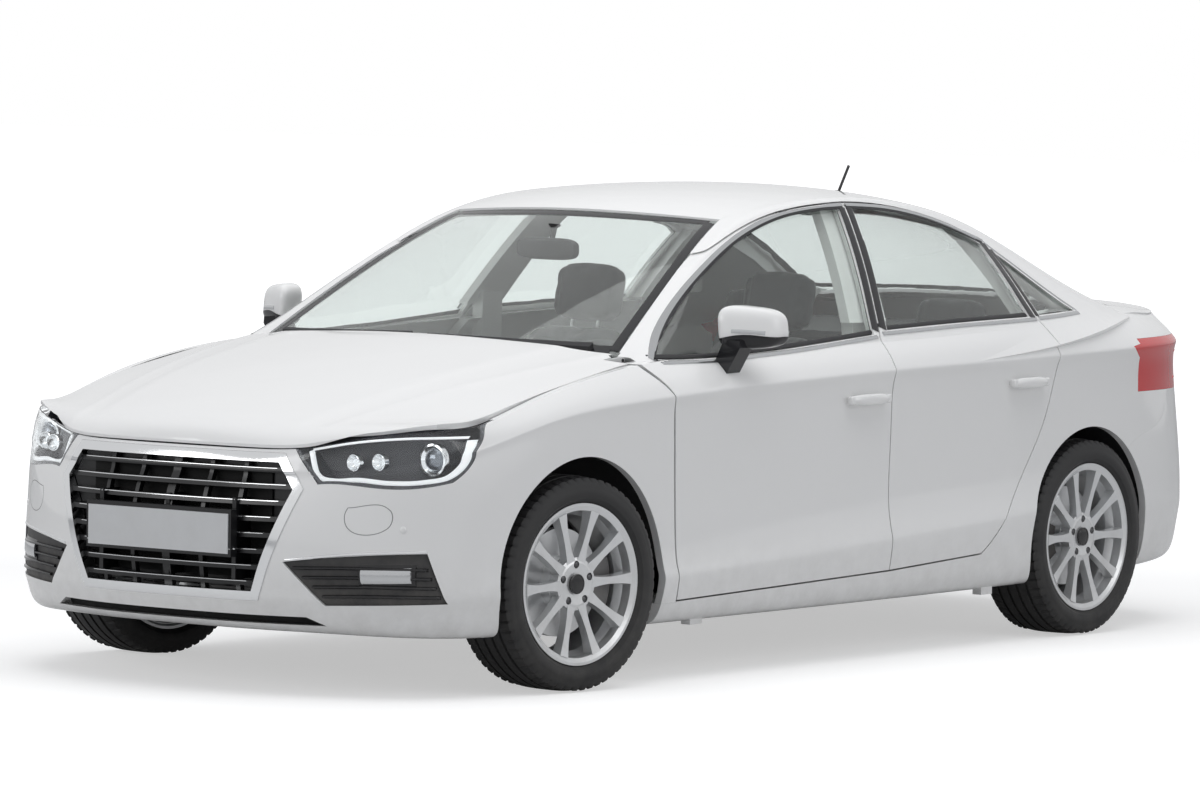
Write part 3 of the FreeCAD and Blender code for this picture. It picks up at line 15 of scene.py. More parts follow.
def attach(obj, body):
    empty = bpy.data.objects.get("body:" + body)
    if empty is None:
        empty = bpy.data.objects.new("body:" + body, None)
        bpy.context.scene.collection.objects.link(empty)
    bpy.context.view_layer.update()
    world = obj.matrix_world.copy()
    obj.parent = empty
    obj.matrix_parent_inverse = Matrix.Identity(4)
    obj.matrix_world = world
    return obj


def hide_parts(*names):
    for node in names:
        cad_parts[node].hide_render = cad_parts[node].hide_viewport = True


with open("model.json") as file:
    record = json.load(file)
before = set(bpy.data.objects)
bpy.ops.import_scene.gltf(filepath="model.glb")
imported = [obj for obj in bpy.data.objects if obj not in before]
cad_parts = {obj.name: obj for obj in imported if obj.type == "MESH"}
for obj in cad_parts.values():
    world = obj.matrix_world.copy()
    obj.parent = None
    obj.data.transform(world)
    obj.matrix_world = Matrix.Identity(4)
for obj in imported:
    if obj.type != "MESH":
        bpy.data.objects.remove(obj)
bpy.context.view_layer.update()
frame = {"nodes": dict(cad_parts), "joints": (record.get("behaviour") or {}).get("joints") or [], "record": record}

nodes = frame["nodes"]

# %% [markdown]
# ## The camera
# The photograph was taken from far away with a long lens, a little above the bonnet. Its place was worked out
# from the wheel rims, the plate and the window corners. A long lens is a large focal length on a 36 mm wide
# sensor, and the picture's centre is moved with the lens shift, which keeps upright lines upright. A camera
# aimed at the car's middle would have been simpler, but it would tilt those lines.

# %% Camera
CAMERA_PLACE = (12.935017, -17.261011, 1.971916)
YAW, PITCH, ROLL = 0.64152, -0.07481, 0.01713
FOCAL_PIXELS, CENTRE_PIXEL = 6999.586, (639.824, 526.632)
PICTURE = (1200, 800)
SENSOR = 36.0


def camera_axes(yaw, pitch, roll):
    """Right, up and back of a camera that looks along yaw and pitch and leans by roll."""
    ahead = Vector((-math.sin(yaw) * math.cos(pitch), math.cos(yaw) * math.cos(pitch), math.sin(pitch)))
    right = ahead.cross(Vector((0, 0, 1))).normalized()
    up = right.cross(ahead)
    tilted_right = right * math.cos(roll) + up * math.sin(roll)
    return tilted_right, up * math.cos(roll) - right * math.sin(roll), -ahead


lens = bpy.data.cameras.new("camera")
lens.sensor_width = SENSOR
lens.lens = FOCAL_PIXELS / PICTURE[0] * SENSOR
lens.shift_x = (PICTURE[0] / 2 - CENTRE_PIXEL[0]) / PICTURE[0]
lens.shift_y = (CENTRE_PIXEL[1] - PICTURE[1] / 2) / PICTURE[0]
lens.clip_start, lens.clip_end = 0.1, 200.0
camera = bpy.data.objects.new("camera", lens)
axes = camera_axes(YAW, PITCH, ROLL)
aimed = Matrix([[a[k] for a in axes] for k in range(3)]).to_4x4()
camera.matrix_world = Matrix.Translation(CAMERA_PLACE) @ aimed
bpy.context.scene.collection.objects.link(camera)
bpy.context.scene.camera = camera
print("lens %.1f mm" % lens.lens)

# %% [markdown]
# ## The studio
# A white floor, a white surround and three large soft lamps. The surround could be lit until it clips, but
# that would wash out the white paint. So what the camera or a pane of glass sees of the surround is white,
# and the light that it gives is dimmer. The floor takes the car's shadow, and a share of plain white, larger
# further out, that only the camera sees lifts it to the white of the surround.

# %% Helpers for objects and nodes
bpy.context.scene.view_settings.view_transform = "Standard"


def link(obj):
    """Puts an object into the scene and returns it."""
    bpy.context.scene.collection.objects.link(obj)
    return obj


def wired(tree, kind, **settings):
    """New node with properties (p_name), numbered (i0) and named sockets; a socket as value is linked."""
    node = tree.nodes.new(kind)
    for key, value in settings.items():
        if key.startswith("p_"):
            setattr(node, key[2:], value)
    for key, value in settings.items():
        if key.startswith("p_"):
            continue
        numbered = key[0] == "i" and key[1:].isdigit()
        socket = node.inputs[int(key[1:])] if numbered else node.inputs[key.replace("_", " ")]
        if isinstance(value, bpy.types.NodeSocket):
            tree.links.new(value, socket)
        else:
            socket.default_value = value
    return node


def maths(tree, operation, *values):
    """Output of a math node with its values."""
    sockets = {"i%d" % k: value for k, value in enumerate(values)}
    return wired(tree, "ShaderNodeMath", p_operation=operation, **sockets).outputs[0]


def seen_directly(tree, gloss):
    """1 for rays from the camera or through glass, a share of it off gloss, 0 for the light that fills."""
    rays = tree.nodes.new("ShaderNodeLightPath").outputs
    first = maths(tree, "MAXIMUM", rays["Is Camera Ray"], rays["Is Transmission Ray"])
    return maths(tree, "MAXIMUM", first, maths(tree, "MULTIPLY", rays["Is Glossy Ray"], gloss))


print("helpers ready")

# %% Floor
WORLD_GLOSS, FLOOR_GLOSS = 0.60, 0.15
SURROUND_LIGHT = (0.26, 0.27, 0.29, 1)
WHITE = (1.0, 1.0, 1.0, 1)
FLOOR_COLOUR = (0.60, 0.60, 0.60, 1)
FLOOR_HALF = 60.0
FLOOR_LIFT_NEAR, FLOOR_LIFT_FAR = 0.50, 1.0
LIFT_RADII = (3.2, 8.0)
floor_mesh = bpy.data.meshes.new("studio_floor")
corners = [(x * FLOOR_HALF, y * FLOOR_HALF, 0) for x, y in ((-1, -1), (1, -1), (1, 1), (-1, 1))]
floor_mesh.from_pydata(corners, [], [(0, 1, 2, 3)])
floor = link(bpy.data.objects.new("studio_floor", floor_mesh))
floor_finish = bpy.data.materials.new("studio_floor")
floor_finish.use_nodes = True
tree = floor_finish.node_tree
bsdf = tree.nodes["Principled BSDF"]
bsdf.inputs["Base Color"].default_value = FLOOR_COLOUR
bsdf.inputs["Roughness"].default_value = 0.9
bsdf.inputs["Emission Color"].default_value = WHITE
place = wired(tree, "ShaderNodeTexCoord").outputs["Object"]
reach = wired(tree, "ShaderNodeVectorMath", p_operation="LENGTH", i0=place)
ramp = wired(tree, "ShaderNodeMapRange", Value=reach.outputs["Value"], From_Min=LIFT_RADII[0],
    From_Max=LIFT_RADII[1], To_Min=FLOOR_LIFT_NEAR, To_Max=FLOOR_LIFT_FAR)
lift = maths(tree, "MULTIPLY", seen_directly(tree, FLOOR_GLOSS), ramp.outputs["Result"])
tree.links.new(lift, bsdf.inputs["Emission Strength"])
floor.data.materials.append(floor_finish)
print("floor", FLOOR_HALF * 2, "m wide")

# %% Surround and lamps
world = bpy.data.worlds.new("surround")
bpy.context.scene.world = world
world.use_nodes = True
tree = world.node_tree
pick = wired(tree, "ShaderNodeMix", p_data_type="RGBA")
pick.inputs["A"].default_value = SURROUND_LIGHT
pick.inputs["B"].default_value = WHITE
tree.links.new(seen_directly(tree, WORLD_GLOSS), pick.inputs["Factor"])
tree.links.new(pick.outputs["Result"], tree.nodes["Background"].inputs["Color"])


def lamp(name, place, aim, size, power):
    """Soft rectangular lamp at a place that looks at an aim."""
    data = bpy.data.lights.new(name, "AREA")
    data.shape = "RECTANGLE"
    data.size, data.size_y = size
    data.energy = power
    obj = link(bpy.data.objects.new(name, data))
    obj.location = place
    obj.rotation_euler = (Vector(aim) - Vector(place)).to_track_quat("-Z", "Y").to_euler()
    return obj


lamp("lamp_above", (0.5, -0.5, 6.5), (0, 0, 0), (7, 9), 375).visible_glossy = False
lamp("lamp_left", (8, 1, 3.5), (0, 0, 0.6), (7, 3), 85)
lamp("lamp_front", (-3, -9, 3.2), (0, -1, 0.6), (6, 3), 150)
print("surround and three lamps")

# %% [markdown]
# ## Shared effects
# Several finishes need the same small effects: a fine grain, the thin film of road dust that grows towards
# the sills, and the slight waviness of sprayed paint. Each could be drawn again in every material; as a node
# group with named sockets it is built once and placed with its own values. A group only gives out masks,
# values and normals.

# %% A start for node groups
def new_group(name, inputs, outputs):
    """Shader node group with float, vector or colour sockets, and its two end nodes."""
    group = bpy.data.node_groups.new(name, "ShaderNodeTree")
    kinds = {"value": "NodeSocketFloat", "vector": "NodeSocketVector", "colour": "NodeSocketColor"}
    for label, kind, start in inputs:
        socket = group.interface.new_socket(name=label, in_out="INPUT", socket_type=kinds[kind])
        socket.default_value = start
    for label, kind in outputs:
        group.interface.new_socket(name=label, in_out="OUTPUT", socket_type=kinds[kind])
    return group, group.nodes.new("NodeGroupInput"), group.nodes.new("NodeGroupOutput")


print("group helper ready")

# %% Fine grain
def grain_group():
    """Fine grain: noise at a size in metres, as a normal, and a wide noise as a change of roughness."""
    g, start, end = new_group("fine_grain", [("Size", "value", 0.001), ("Depth", "value", 0.2),
            ("Roughness", "value", 0.5), ("Spread", "value", 0.08)],
        [("Normal", "vector"), ("Roughness", "value")])
    place = wired(g, "ShaderNodeTexCoord").outputs["Object"]
    scale = maths(g, "DIVIDE", 1.0, start.outputs["Size"])
    noise = wired(g, "ShaderNodeTexNoise", Vector=place, Scale=scale, Detail=3.0)
    bump = wired(g, "ShaderNodeBump", Height=noise.outputs["Fac"], Strength=start.outputs["Depth"],
        Distance=0.0006)
    wide = wired(g, "ShaderNodeTexNoise", Vector=place, Scale=9.0, Detail=4.0)
    shift = maths(g, "MULTIPLY_ADD", wide.outputs["Fac"], start.outputs["Spread"], start.outputs["Roughness"])
    g.links.new(bump.outputs["Normal"], end.inputs["Normal"])
    g.links.new(shift, end.inputs["Roughness"])
    return g


GRAIN = grain_group()
print("group", GRAIN.name)

# %% Road dust
def dust_group():
    """Road dust: a mask that is full near the ground, fades out by a height and is broken up by noise."""
    g, start, end = new_group("road_dust", [("Top", "value", 0.45), ("Amount", "value", 0.5)],
        [("Mask", "value")])
    place = wired(g, "ShaderNodeTexCoord").outputs["Object"]
    split = wired(g, "ShaderNodeSeparateXYZ", Vector=place)
    fall = wired(g, "ShaderNodeMapRange", Value=split.outputs["Z"], From_Min=0.1,
        From_Max=start.outputs["Top"], To_Min=1.0, To_Max=0.0)
    cloud = wired(g, "ShaderNodeTexNoise", Vector=place, Scale=14.0, Detail=6.0, Roughness=0.65)
    rise = wired(g, "ShaderNodeMapRange", Value=cloud.outputs["Fac"], From_Min=0.3, From_Max=0.75)
    both = maths(g, "MULTIPLY", fall.outputs["Result"], rise.outputs["Result"])
    g.links.new(maths(g, "MULTIPLY", both, start.outputs["Amount"]), end.inputs["Mask"])
    return g


DUST = dust_group()
print("group", DUST.name)

# %% Spray waves, and placing a group
def peel_group():
    """Sprayed surface: very shallow waves a few millimetres across."""
    g, start, end = new_group("spray_waves", [("Depth", "value", 0.02)], [("Normal", "vector")])
    place = wired(g, "ShaderNodeTexCoord").outputs["Object"]
    noise = wired(g, "ShaderNodeTexNoise", Vector=place, Scale=260.0, Detail=1.0)
    bump = wired(g, "ShaderNodeBump", Height=noise.outputs["Fac"], Strength=start.outputs["Depth"],
        Distance=0.0004)
    g.links.new(bump.outputs["Normal"], end.inputs["Normal"])
    return g


PEEL = peel_group()


def placed(tree, group, **values):
    """A group placed in a material, with its own socket values."""
    node = tree.nodes.new("ShaderNodeGroup")
    node.node_tree = group
    for key, value in values.items():
        node.inputs[key].default_value = value
    return node


print("group", PEEL.name)

# %% [markdown]
# ## Finishes
# A finish is a Principled shader with constants on its own sockets, and the groups above on its colour,
# roughness and normal. Real car paint is pigment under clear lacquer, so the paint here is a slightly rough
# white under a smooth coat. Dust lightens dark plastic and dulls white paint. One function makes them all,
# because only values differ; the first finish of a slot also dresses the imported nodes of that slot.

# %% One function for every finish
DUST_COLOUR = (0.30, 0.28, 0.25, 1)
SLOT_OF, FIRST_OF = {}, {}


def finish(name, slot, colour, roughness=0.5, metallic=0.0, grain=None, dust=None, peel=None, **shader):
    """Principled material of a slot; grain is (size, depth, spread), dust (top, amount), peel a depth."""
    mat = bpy.data.materials.new(name)
    SLOT_OF[name] = slot
    FIRST_OF.setdefault(slot, mat)
    mat.use_nodes = True
    tree = mat.node_tree
    bsdf = tree.nodes["Principled BSDF"]
    shader.update(Base_Color=(*colour, 1), Roughness=roughness, Metallic=metallic)
    for key, value in shader.items():
        bsdf.inputs[key.replace("_", " ")].default_value = value
    if grain:
        node = placed(tree, GRAIN, Size=grain[0], Depth=grain[1], Spread=grain[2])
        node.inputs["Roughness"].default_value = roughness - grain[2] / 2
        tree.links.new(node.outputs["Normal"], bsdf.inputs["Normal"])
        tree.links.new(node.outputs["Roughness"], bsdf.inputs["Roughness"])
    if peel:
        tree.links.new(placed(tree, PEEL, Depth=peel).outputs["Normal"], bsdf.inputs["Normal"])
    if dust:
        mask = placed(tree, DUST, Top=dust[0], Amount=dust[1]).outputs["Mask"]
        mix = wired(tree, "ShaderNodeMix", p_data_type="RGBA")
        mix.inputs["A"].default_value = (*colour, 1)
        mix.inputs["B"].default_value = DUST_COLOUR
        tree.links.new(mask, mix.inputs["Factor"])
        tree.links.new(mix.outputs["Result"], bsdf.inputs["Base Color"])
    return mat


print("finish function ready")

# %% Finishes of the body, the glass and the lamps
paint = finish("white_paint", "paint_white", (0.87, 0.87, 0.865), 0.35, peel=0.02, dust=(0.42, 0.35),
    Coat_Weight=1.0, Coat_Roughness=0.03)
finish("tinted_glass", "glass", (0.83, 0.87, 0.855), 0.0, Transmission_Weight=1.0, IOR=1.45)
finish("clear_lens", "lamp_clear", (0.95, 0.97, 0.98), 0.02, Transmission_Weight=1.0, IOR=1.35)
finish("lamp_housing", "lamp_inner", (0.06, 0.06, 0.07), 0.25, grain=(0.002, 0.1, 0.05))
red = finish("red_lens", "lamp_red", (0.62, 0.012, 0.016), 0.25, Coat_Weight=0.5, grain=(0.01, 0.05, 0.05))
red_bright = finish("bright_red_lens", "lamp_red", (0.85, 0.03, 0.03), 0.2, grain=(0.004, 0.2, 0.05),
    Coat_Weight=0.5)
guide_white = finish("light_guide_white", "lamp_clear", (0.86, 0.87, 0.88), 0.25, grain=(0.004, 0.05, 0.05),
    Emission_Strength=0.25, Emission_Color=(1, 1, 1, 1))
fog_glass = finish("fog_lamp_glass", "lamp_clear", (0.60, 0.61, 0.62), 0.12, 0.8, grain=(0.006, 0.5, 0.05))
clear_grey = finish("mirror_lamp_plastic", "lamp_clear", (0.55, 0.56, 0.57), 0.15, grain=(0.003, 0.3, 0.05),
    Coat_Weight=1.0)
projector_glass = finish("projector_glass", "lamp_inner", (0.20, 0.22, 0.25), 0.10, 0.6,
    grain=(0.01, 0.02, 0.03), Coat_Weight=1.0)
print("paint, glass and lamp finishes")

# %% Finishes of trim, wheels, underside and cabin
bright = finish("bright_trim", "chrome", (0.82, 0.83, 0.84), 0.10, 1.0, grain=(0.004, 0.03, 0.06))
mirror_glass = finish("mirror_pane_silver", "chrome", (0.80, 0.82, 0.84), 0.03, 1.0, grain=(0.01, 0.01, 0.02))
strip_silver = finish("window_strip_silver", "chrome", (0.56, 0.57, 0.58), 0.22, 1.0,
    grain=(0.004, 0.03, 0.06))
gloss_black = finish("gloss_black", "black_gloss", (0.012, 0.012, 0.014), 0.14, dust=(0.5, 0.15), peel=0.02)
matt_black = finish("grained_black", "black_matt", (0.022, 0.022, 0.024), 0.55, grain=(0.0012, 0.5, 0.12),
    dust=(0.5, 0.5))
# Matt near-black for the sheets of painted shade behind the grille and in the bumper's lower slot.
painted_shade_black = finish("shaded_black", "black_matt", (0.006, 0.006, 0.006), 0.9, grain=(0.002, 0.3, 0.05))
grille_black = finish("grille_black", "black_gloss", (0.007, 0.007, 0.008), 0.30, grain=(0.002, 0.1, 0.08))
# Grey for a thin line of painted shade along a narrow gap.
gap_shade_grey = finish("seam_shadow", "black_matt", (0.22, 0.22, 0.22), 0.6, grain=(0.001, 0.3, 0.1))
plate_finish = finish("blank_plate", "plate", (0.62, 0.63, 0.64), 0.38, grain=(0.003, 0.15, 0.1),
    dust=(0.9, 0.2))
finish("silver_alloy", "rim", (0.72, 0.73, 0.74), 0.30, 0.65, grain=(0.0008, 0.12, 0.08),
    dust=(0.62, 0.35), Coat_Weight=0.6)
rubber = finish("tyre_rubber", "tyre", (0.016, 0.016, 0.017), 0.62, grain=(0.003, 0.25, 0.12),
    dust=(0.62, 0.10))
casting = finish("casting", "casting", (0.16, 0.16, 0.165), 0.55, 0.7, grain=(0.004, 0.7, 0.2),
    dust=(0.6, 0.5))
steel = finish("bare_steel", "steel", (0.40, 0.40, 0.41), 0.35, 0.9, grain=(0.002, 0.3, 0.2), dust=(0.5, 0.4))
bolt_dark = finish("bolt_steel", "steel", (0.10, 0.10, 0.105), 0.35, 0.8, grain=(0.001, 0.3, 0.1))
finish("underbody", "underbody", (0.035, 0.035, 0.037), 0.7, grain=(0.006, 0.7, 0.15),
    dust=(0.5, 0.7))
cloth = finish("seat_cloth", "cloth", (0.045, 0.046, 0.05), 0.85, grain=(0.002, 0.6, 0.1), Sheen_Weight=0.4)
trim = finish("cabin_trim", "trim", (0.030, 0.030, 0.032), 0.60, grain=(0.0015, 0.5, 0.1))
FIRST_OF["engine"] = casting
for part in frame["record"]["subparts"]:
    for slot in nodes[part["node"]].material_slots:
        slot.material = FIRST_OF[part["material_slot"]]
for slot in nodes["grille"].material_slots:
    slot.material = grille_black
print(len(FIRST_OF), "slots dressed on", len(nodes), "nodes")

# %% [markdown]
# ## Surfaces from arrays
# Every new piece is a closed skin worked out with numpy: a row of closed outlines, one behind the other. Trim
# follows the body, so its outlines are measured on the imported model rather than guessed: seen along one axis,
# a point lies in a triangle where its three barycentric weights are positive, and the outermost such triangle
# gives the depth there.

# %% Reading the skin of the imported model
NO_AREA = 1e-13
EDGE_SLACK = 1e-7


def triangles(names):
    """Corner places of the triangles of some objects, as an array (count, corner, axis)."""
    found = []
    for name in names:
        mesh = bpy.data.objects[name].data
        mesh.calc_loop_triangles()
        places = np.empty(len(mesh.vertices) * 3, np.float32)
        corners = np.empty(len(mesh.loop_triangles) * 3, np.int32)
        mesh.vertices.foreach_get("co", places)
        mesh.loop_triangles.foreach_get("vertices", corners)
        found.append(places.reshape(-1, 3)[corners.reshape(-1, 3)])
    return np.concatenate(found).astype(float)


def skin(names, axis, side, u, v):
    """Depth along the axis of the outermost surface at each (u, v); beside it, the nearest hit's depth."""
    shape = u.shape
    u, v = u.reshape(-1, 1), v.reshape(-1, 1)
    tri = triangles(names)
    flat = tri[:, :, [k for k in range(3) if k != axis]]
    near = (flat.max(1) >= (u.min(), v.min())).all(1) & (flat.min(1) <= (u.max(), v.max())).all(1)
    tri, flat = tri[near], flat[near]
    (ax, ay), (bx, by), (cx, cy) = flat[:, 0].T, flat[:, 1].T, flat[:, 2].T
    area = (by - cy) * (ax - cx) + (cx - bx) * (ay - cy)
    area = np.where(np.abs(area) < NO_AREA, np.nan, area)
    wa = ((by - cy) * (u - cx) + (cx - bx) * (v - cy)) / area
    wb = ((cy - ay) * (u - cx) + (ax - cx) * (v - cy)) / area
    wc = 1 - wa - wb
    hit = np.minimum(np.minimum(wa, wb), wc) > -EDGE_SLACK
    depth = wa * tri[:, 0, axis] + wb * tri[:, 1, axis] + wc * tri[:, 2, axis]
    best = np.where(hit, side * depth, -np.inf).max(1) * side
    best = np.where(np.isfinite(best), best, np.nan).reshape(shape[0], -1)
    for lines in (best, best.T):
        for line in lines:
            known = np.isfinite(line)
            if known.any():
                line[:] = np.interp(np.arange(len(line)), np.flatnonzero(known), line[known])
    return best.reshape(shape)


def depth_at(names, axis, side, u, v):
    """Depth of the outermost surface at one point."""
    return skin(names, axis, side, np.array([[u]]), np.array([[v]]))[0, 0]


def in_space(axis, depth, u, v):
    """Points (x, y, z) from a depth along an axis and the two other coordinates."""
    parts = [u, v]
    parts.insert(axis, depth)
    return np.stack(parts, -1)


X, Y, Z = 0, 1, 2
print("skin reader ready")

# %% Closed skins from rows of outlines
SHARP = math.radians(38)


def grid_faces(rows, columns, round_rows, round_columns):
    """Quads between neighbouring rows and columns; a round direction joins its last line to its first."""
    i = np.arange(rows if round_rows else rows - 1)[:, None]
    j = np.arange(columns if round_columns else columns - 1)[None, :]
    down, right = (i + 1) % rows, (j + 1) % columns
    corners = [i * columns + j, i * columns + right, down * columns + right, down * columns + j]
    return np.stack(corners, -1).reshape(-1, 4)


def piece(name, rows, material, body="body", round_rows=False, smooth=True, replace=None):
    """Closed skin over closed outlines (rows, columns, 3), capped at its ends unless its rows are round."""
    rows = np.asarray(rows, float)
    count, columns = rows.shape[:2]
    points = rows.reshape(-1, 3)
    quads = grid_faces(count, columns, round_rows, True)
    a, b, c, d = (points[quads[:, k]] - points.mean(0) for k in range(4))
    volume = np.einsum("ij,ij->i", a, np.cross(b, c)).sum() + np.einsum("ij,ij->i", a, np.cross(c, d)).sum()
    faces = quads.tolist()
    if not round_rows:
        faces += [list(range(columns))[::-1], list(range((count - 1) * columns, count * columns))]
    if volume < 0:
        faces = [f[::-1] for f in faces]
    mesh = bpy.data.meshes.new(name)
    mesh.from_pydata(points.tolist(), [], faces)
    mesh.polygons.foreach_set("use_smooth", np.full(len(faces), smooth))
    if smooth:
        mesh.set_sharp_from_angle(angle=SHARP)
    mesh.materials.append(material)
    mesh.update()
    obj = link(bpy.data.objects.new(name, mesh))
    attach(obj, body)
    if replace:
        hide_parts(*replace)
    return obj


def both_sides(name, rows, material, body="body", **more):
    """The same piece on the left and, mirrored, on the right; LEFT in a body's name becomes the side."""
    piece(name + "_left", rows, material, body.replace("LEFT", "left"), **more)
    piece(name + "_right", rows * (-1, 1, 1), material, body.replace("LEFT", "right"), **more)


print("mesh helpers ready")

# %% Paths and strips
def smooth_path(points, count):
    """Cubic pieces through points in millimetres, slopes from differences on the chord length, as metres."""
    p = np.array(points, float) / 1000
    t = np.concatenate([[0], np.cumsum(np.linalg.norm(np.diff(p, axis=0), axis=1))])
    slope = np.gradient(p, t, axis=0)
    s = np.linspace(0, t[-1], count)
    k = np.clip(np.searchsorted(t, s, "right") - 1, 0, len(t) - 2)
    h = (t[k + 1] - t[k])[:, None]
    x = ((s - t[k]) / (t[k + 1] - t[k]))[:, None]
    return ((2 * x**3 - 3 * x**2 + 1) * p[k] + (x**3 - 2 * x**2 + x) * h * slope[k]
        + (3 * x**2 - 2 * x**3) * p[k + 1] + (x**3 - x**2) * h * slope[k + 1])


def strip(names, axis, side, path, width, proud, lift=0.0, sink=0.0015, columns=7, round_rows=False,
          sample=None):
    """Rows of a strip on the skin: across the path its top is lift + proud * (1 - s^4) high, s from -1 to 1.

    With a sample width the depth is read only that far on both sides of the path, and is straight between.
    """
    ahead = np.gradient(path, axis=0)
    if round_rows:
        ahead = (np.roll(path, -1, 0) - np.roll(path, 1, 0)) / 2
    ahead /= np.linalg.norm(ahead, axis=1)[:, None]
    across = np.stack([-ahead[:, 1], ahead[:, 0]], -1)
    s = np.linspace(-1, 1, columns)
    flat = path[:, None] + across[:, None] * s[None, :, None] * width / 2
    if sample:
        ends = path[:, None] + across[:, None] * np.array([-1.0, 1.0])[None, :, None] * sample
        found = skin(names, axis, side, ends[..., 0], ends[..., 1])
        share = (s[None] * width / 2 / sample + 1) / 2
        depth = found[:, :1] * (1 - share) + found[:, 1:] * share
    else:
        depth = skin(names, axis, side, flat[..., 0], flat[..., 1])
    top = depth + side * (lift + proud * (1 - s**4))
    under = depth + side * (lift - sink)
    loop = np.concatenate([top, under[:, ::-1]], 1)
    return in_space(axis, loop, *np.moveaxis(np.concatenate([flat, flat[:, ::-1]], 1), -1, 0))


print("strips ready")

# %% Turned forms and soft boxes
def turned(profile, centre, axis, up, count=48):
    """Rows of a profile (along the axis, radius) turned about an axis through a centre."""
    axis = np.array(axis, float) / np.linalg.norm(axis)
    up = np.array(up, float) - axis * np.dot(up, axis)
    up /= np.linalg.norm(up)
    beside = np.cross(up, axis)
    angle = np.arange(count) * 2 * math.pi / count
    along, radius = np.array(profile, float).T
    ring = np.cos(angle)[:, None] * up + np.sin(angle)[:, None] * beside
    return np.array(centre) + along[None, :, None] * axis + radius[None, :, None] * ring[:, None]


def soft_box(half, count=(28, 40), power=5.0):
    """Soft box: directions (cos b cos a, cos b sin a, sin b) times (sum |d/half|^power)^(-1/power)."""
    a = np.arange(count[1]) * 2 * math.pi / count[1]
    b = np.linspace(-math.pi / 2 + 0.02, math.pi / 2 - 0.02, count[0])
    flat = np.cos(b)[:, None]
    rise = np.broadcast_to(np.sin(b)[:, None], (len(b), len(a)))
    d = np.stack([flat * np.cos(a), flat * np.sin(a), rise], -1)
    return d * ((np.abs(d / np.array(half)) ** power).sum(-1) ** (-1 / power))[..., None]


FORWARD, UP = (0, -1, 0), (0, 0, 1)
print("turned and soft_box ready")

# %% [markdown]
# ## Trim around the windows
# On the real car a bright strip runs round the side windows with a rubber seal inside it, and black panels
# cover the pillars between them. They could be cut out of the door's mesh, but a frame node's mesh isn't ours
# to change, so each is a thin strip laid on the door or its glass. Its path is given by station and height in
# millimetres.

# %% Window strips
STRIP_WIDTH, STRIP_COUNT = 0.011, 60
FRONT_LOOP = [(150, 972), (-60, 957), (-248, 945), (-460, 935), (-672, 926), (-930, 927)]
FRONT_TOP = [(-930, 930), (-811, 1010), (-510, 1174), (-250, 1279), (-29, 1333), (171, 1354), (306, 1359)]
REAR_TOP = [(324, 1359), (352, 1358), (544, 1347), (801, 1305), (926, 1272), (1034, 1236)]
REAR_BELT = [(1026, 1003), (830, 999), (620, 995), (400, 988), (184, 981)]
QUARTER_TOP = [(1048, 1232), (1072, 1212), (1114, 1182), (1238, 1078), (1310, 1019)]
QUARTER_BELT = [(1310, 1016), (1180, 1010), (1046, 1005)]
DOORS = {"front": ("door_front_LEFT", "door_front_left"), "rear": ("door_rear_LEFT", "door_rear_left"),
    "quarter": ("body", "side_frame_left")}
BELT_PROUD, TOP_PROUD, TOP_RAISE = 0.0040, 0.0035, 0.004
WINDOW_STRIPS = {"front_belt_strip": (FRONT_LOOP, "front", BELT_PROUD, 0),
    "front_top_strip": (FRONT_TOP, "front", TOP_PROUD, TOP_RAISE),
    "rear_top_strip": (REAR_TOP, "rear", TOP_PROUD, TOP_RAISE),
    "rear_belt_strip": (REAR_BELT, "rear", BELT_PROUD, 0),
    "quarter_top_strip": (QUARTER_TOP, "quarter", TOP_PROUD, TOP_RAISE),
    "quarter_belt_strip": (QUARTER_BELT, "quarter", BELT_PROUD, 0)}
for name, (points, door, proud, raise_by) in WINDOW_STRIPS.items():
    body, node = DOORS[door]
    path = smooth_path(points, STRIP_COUNT) + (0, raise_by)
    both_sides(name, strip([node], X, 1, path, STRIP_WIDTH, proud, lift=0.0005), strip_silver, body)
print(len(WINDOW_STRIPS) * 2, "window strips")

# %% Pillar panels and window seals
PILLAR_PANELS = {
    "front_pillar_panel": ([(156, 990), (227, 1167), (301, 1357)], 0.031, "front"),
    "middle_pillar_panel": ([(194, 996), (263, 1170), (336, 1357)], 0.036, "rear"),
    "rear_pillar_panel": ([(1016, 1010), (1021, 1120), (1026, 1234)], 0.030, "rear"),
    "quarter_pillar_panel": ([(1048, 1012), (1053, 1110), (1058, 1214)], 0.020, "quarter"),
}
for name, (points, width, door) in PILLAR_PANELS.items():
    body, node = DOORS[door]
    rows = strip([node], X, 1, smooth_path(points, 30), width, 0.0012, lift=0.0008, sink=0.002)
    both_sides(name, rows, gloss_black, body)
SEALS = {"front_seal": (FRONT_TOP, "front"), "rear_seal": (REAR_TOP, "rear")}
for name, (points, door) in SEALS.items():
    body, node = DOORS[door]
    rows = strip([node], X, 1, smooth_path(points, STRIP_COUNT) - (0, 0.0045), 0.008, 0.0012, lift=0.0004)
    both_sides(name, rows, matt_black, body)
BELT_SEALS = {"front_belt_seal": (FRONT_LOOP, "front", "glass_front_left"),
    "rear_belt_seal": (REAR_BELT, "rear", "glass_rear_left")}
for name, (points, door, glass) in BELT_SEALS.items():
    rows = strip([glass], X, 1, smooth_path(points, STRIP_COUNT) + (0, 0.014), 0.012, 0.004, lift=0.0004)
    both_sides(name, rows, matt_black, DOORS[door][0])
print(len(PILLAR_PANELS) * 2, "pillar panels and", (len(SEALS) + len(BELT_SEALS)) * 2, "seals")

# %% [markdown]
# ## Borders of the screens and the cowl
# Bonded screens have a black printed border that hides the glue. A mask in the glass would do for a picture,
# but a thin layer on the glass also survives the export. The cowl is the dark panel between bonnet and glass,
# and carries on from the glass's edge, whose depth is read a little further up.

# %% Black borders and cowl
SCREEN, BACK = "windscreen", "rear_window"


def mirrored_path(points):
    """The same path on the car's other side."""
    return [(-x, y) for x, y in points]


